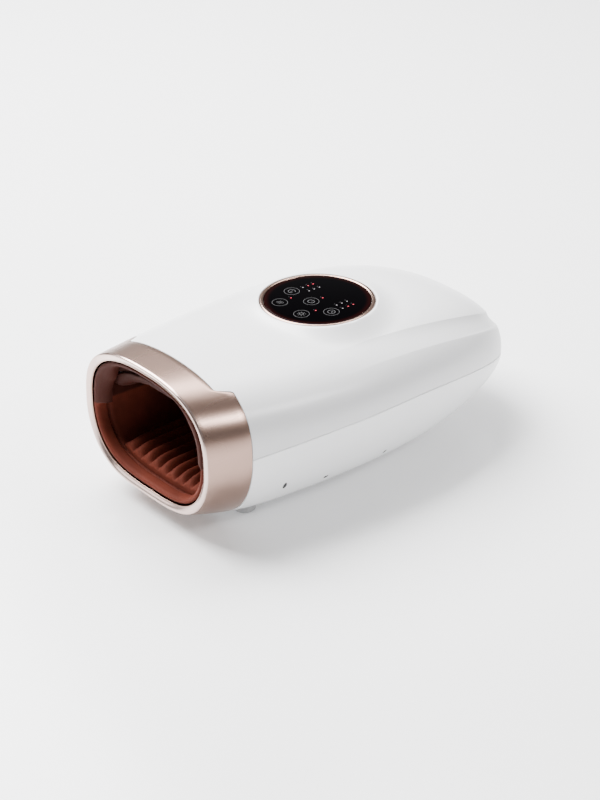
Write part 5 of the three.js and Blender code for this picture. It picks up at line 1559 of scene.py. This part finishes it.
def light_sign(pen, x, y):
    pen.ring(x, y, 1.3, 0.4)
    for step in range(8):
        c, s = math.cos(step * math.pi / 4), math.sin(step * math.pi / 4)
        pen.stroke([(x + 2 * c, y + 2 * s), (x + 2.8 * c, y + 2.8 * s)], 0.4)


def timer_sign(pen, x, y):
    pen.ring(x, y, 2.4, 0.38)
    pen.stroke([(x, y + 1.5), (x, y), (x + 1.2, y - 0.6)], 0.38)


KEY_RADIUS, KEY_LINE = 5.0, 0.26
KEYS = ((-19.6, -4.8), (-12.5, -20.8), (-0.4, -4.9), (8.8, -21.0), (19.0, -4.9))
KEY_SIGNS = (mode_sign, heat_sign, power_sign, light_sign, timer_sign)
LAMPS = (
    (-19.0, 4.1, False), (-18.8, 8.4, True), (-18.6, 12.5, True),
    (-12.7, 4.0, False), (-12.5, 8.2, False), (-12.3, 12.4, False),
    (-12.6, -11.4, True), (0.6, 3.9, True), (11.2, -11.2, True),
    (14.2, 3.8, False), (14.3, 8.1, False), (14.5, 12.3, False),
    (20.1, 3.6, False), (20.2, 8.2, True), (20.4, 12.4, True),
)


def rim_finish():
    """Thin polished rose-gold ring round the glass."""
    tint = tuple(bpy.context.scene.massager_colours.trim)
    finish = Finish("rose_gold_rim")
    wear = finish.noise(12, 2)
    grain = finish.noise(1500, 2)
    return finish.surface(
        Metallic=1.0,
        Base_Color=finish.mix(wear, tint, shade(tint, 0.94)),
        Roughness=0.2 + 0.03 * wear,
        Normal=finish.bump(grain, 0.003 * MM, 0.3),
    )


class MASSAGER_OT_hidden_pieces(Operator):
    """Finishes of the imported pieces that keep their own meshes"""
    bl_idname = "massager.hidden_pieces"
    bl_label = "Feet, screws and insides"

    def execute(self, context):
        finishes = {slot: plain_finish(slot, *values) for slot, values in INNER_FINISHES.items()}
        slots = node_slots()
        for name, node in frame["nodes"].items():
            if node.hide_render:
                continue
            finish = finishes.get(slots.get(name, ""), finishes["black_plastic"])
            node.data.materials.clear()
            node.data.materials.append(finish)
            crisp(node)
        for number in (1, 2):
            self.valve_coil(context, number, finishes["spring_steel"])
        return {"FINISHED"}

    def valve_coil(self, context, number, finish):
        """A valve's return spring, a copy of its imported node's mesh."""
        spring = f"valve_spring_{number}"
        coil = bpy.data.objects.new(f"valve_coil_{number}", frame["nodes"][spring].data.copy())
        context.scene.collection.objects.link(coil)
        dress(coil, "shell", "spring_steel", finish, spring)
        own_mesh(coil)


def node_slots():
    """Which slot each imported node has, read from its own material's name."""
    found = {}
    for name, node in frame["nodes"].items():
        if node.data.materials and node.data.materials[0]:
            found[name] = node.data.materials[0].name.split(".")[0]
    return found


class MASSAGER_PT_sidebar(Panel):
    """Lists the build steps and the sizes"""
    bl_idname = "MASSAGER_PT_sidebar"
    bl_label = "Hand massager"
    bl_space_type = "VIEW_3D"
    bl_region_type = "UI"
    bl_category = "Massager"

    def draw(self, context):
        for step in STEPS:
            self.layout.operator(step.bl_idname)
        for group in GROUPS:
            box = self.layout.box()
            for key in GROUPS[group].__annotations__:
                box.prop(getattr(context.scene, group), key)


STEPS = (
    MASSAGER_OT_stage,
    MASSAGER_OT_upper_case,
    MASSAGER_OT_lower_case,
    MASSAGER_OT_mouth_trim,
    MASSAGER_OT_lining,
    MASSAGER_OT_floor_pad,
    MASSAGER_OT_cushions,
    MASSAGER_OT_panel,
    MASSAGER_OT_hidden_pieces,
)
GROUPS = {
    "massager_case": CaseSizes,
    "massager_trim": TrimSizes,
    "massager_chamber": ChamberSizes,
    "massager_panel": PanelSizes,
    "massager_colours": Colours,
}


def register():
    for name, group in GROUPS.items():
        bpy.utils.register_class(group)
        setattr(bpy.types.Scene, name, PointerProperty(type=group))
    for step in STEPS:
        bpy.utils.register_class(step)
    bpy.utils.register_class(MASSAGER_PT_sidebar)


def unregister():
    bpy.utils.unregister_class(MASSAGER_PT_sidebar)
    for step in reversed(STEPS):
        bpy.utils.unregister_class(step)
    for name, group in reversed(GROUPS.items()):
        delattr(bpy.types.Scene, name)
        bpy.utils.unregister_class(group)


def main():
    register()
    for step in STEPS:
        family, name = step.bl_idname.split(".")
        getattr(getattr(bpy.ops, family), name)()


if __name__ == "__main__":
    main()
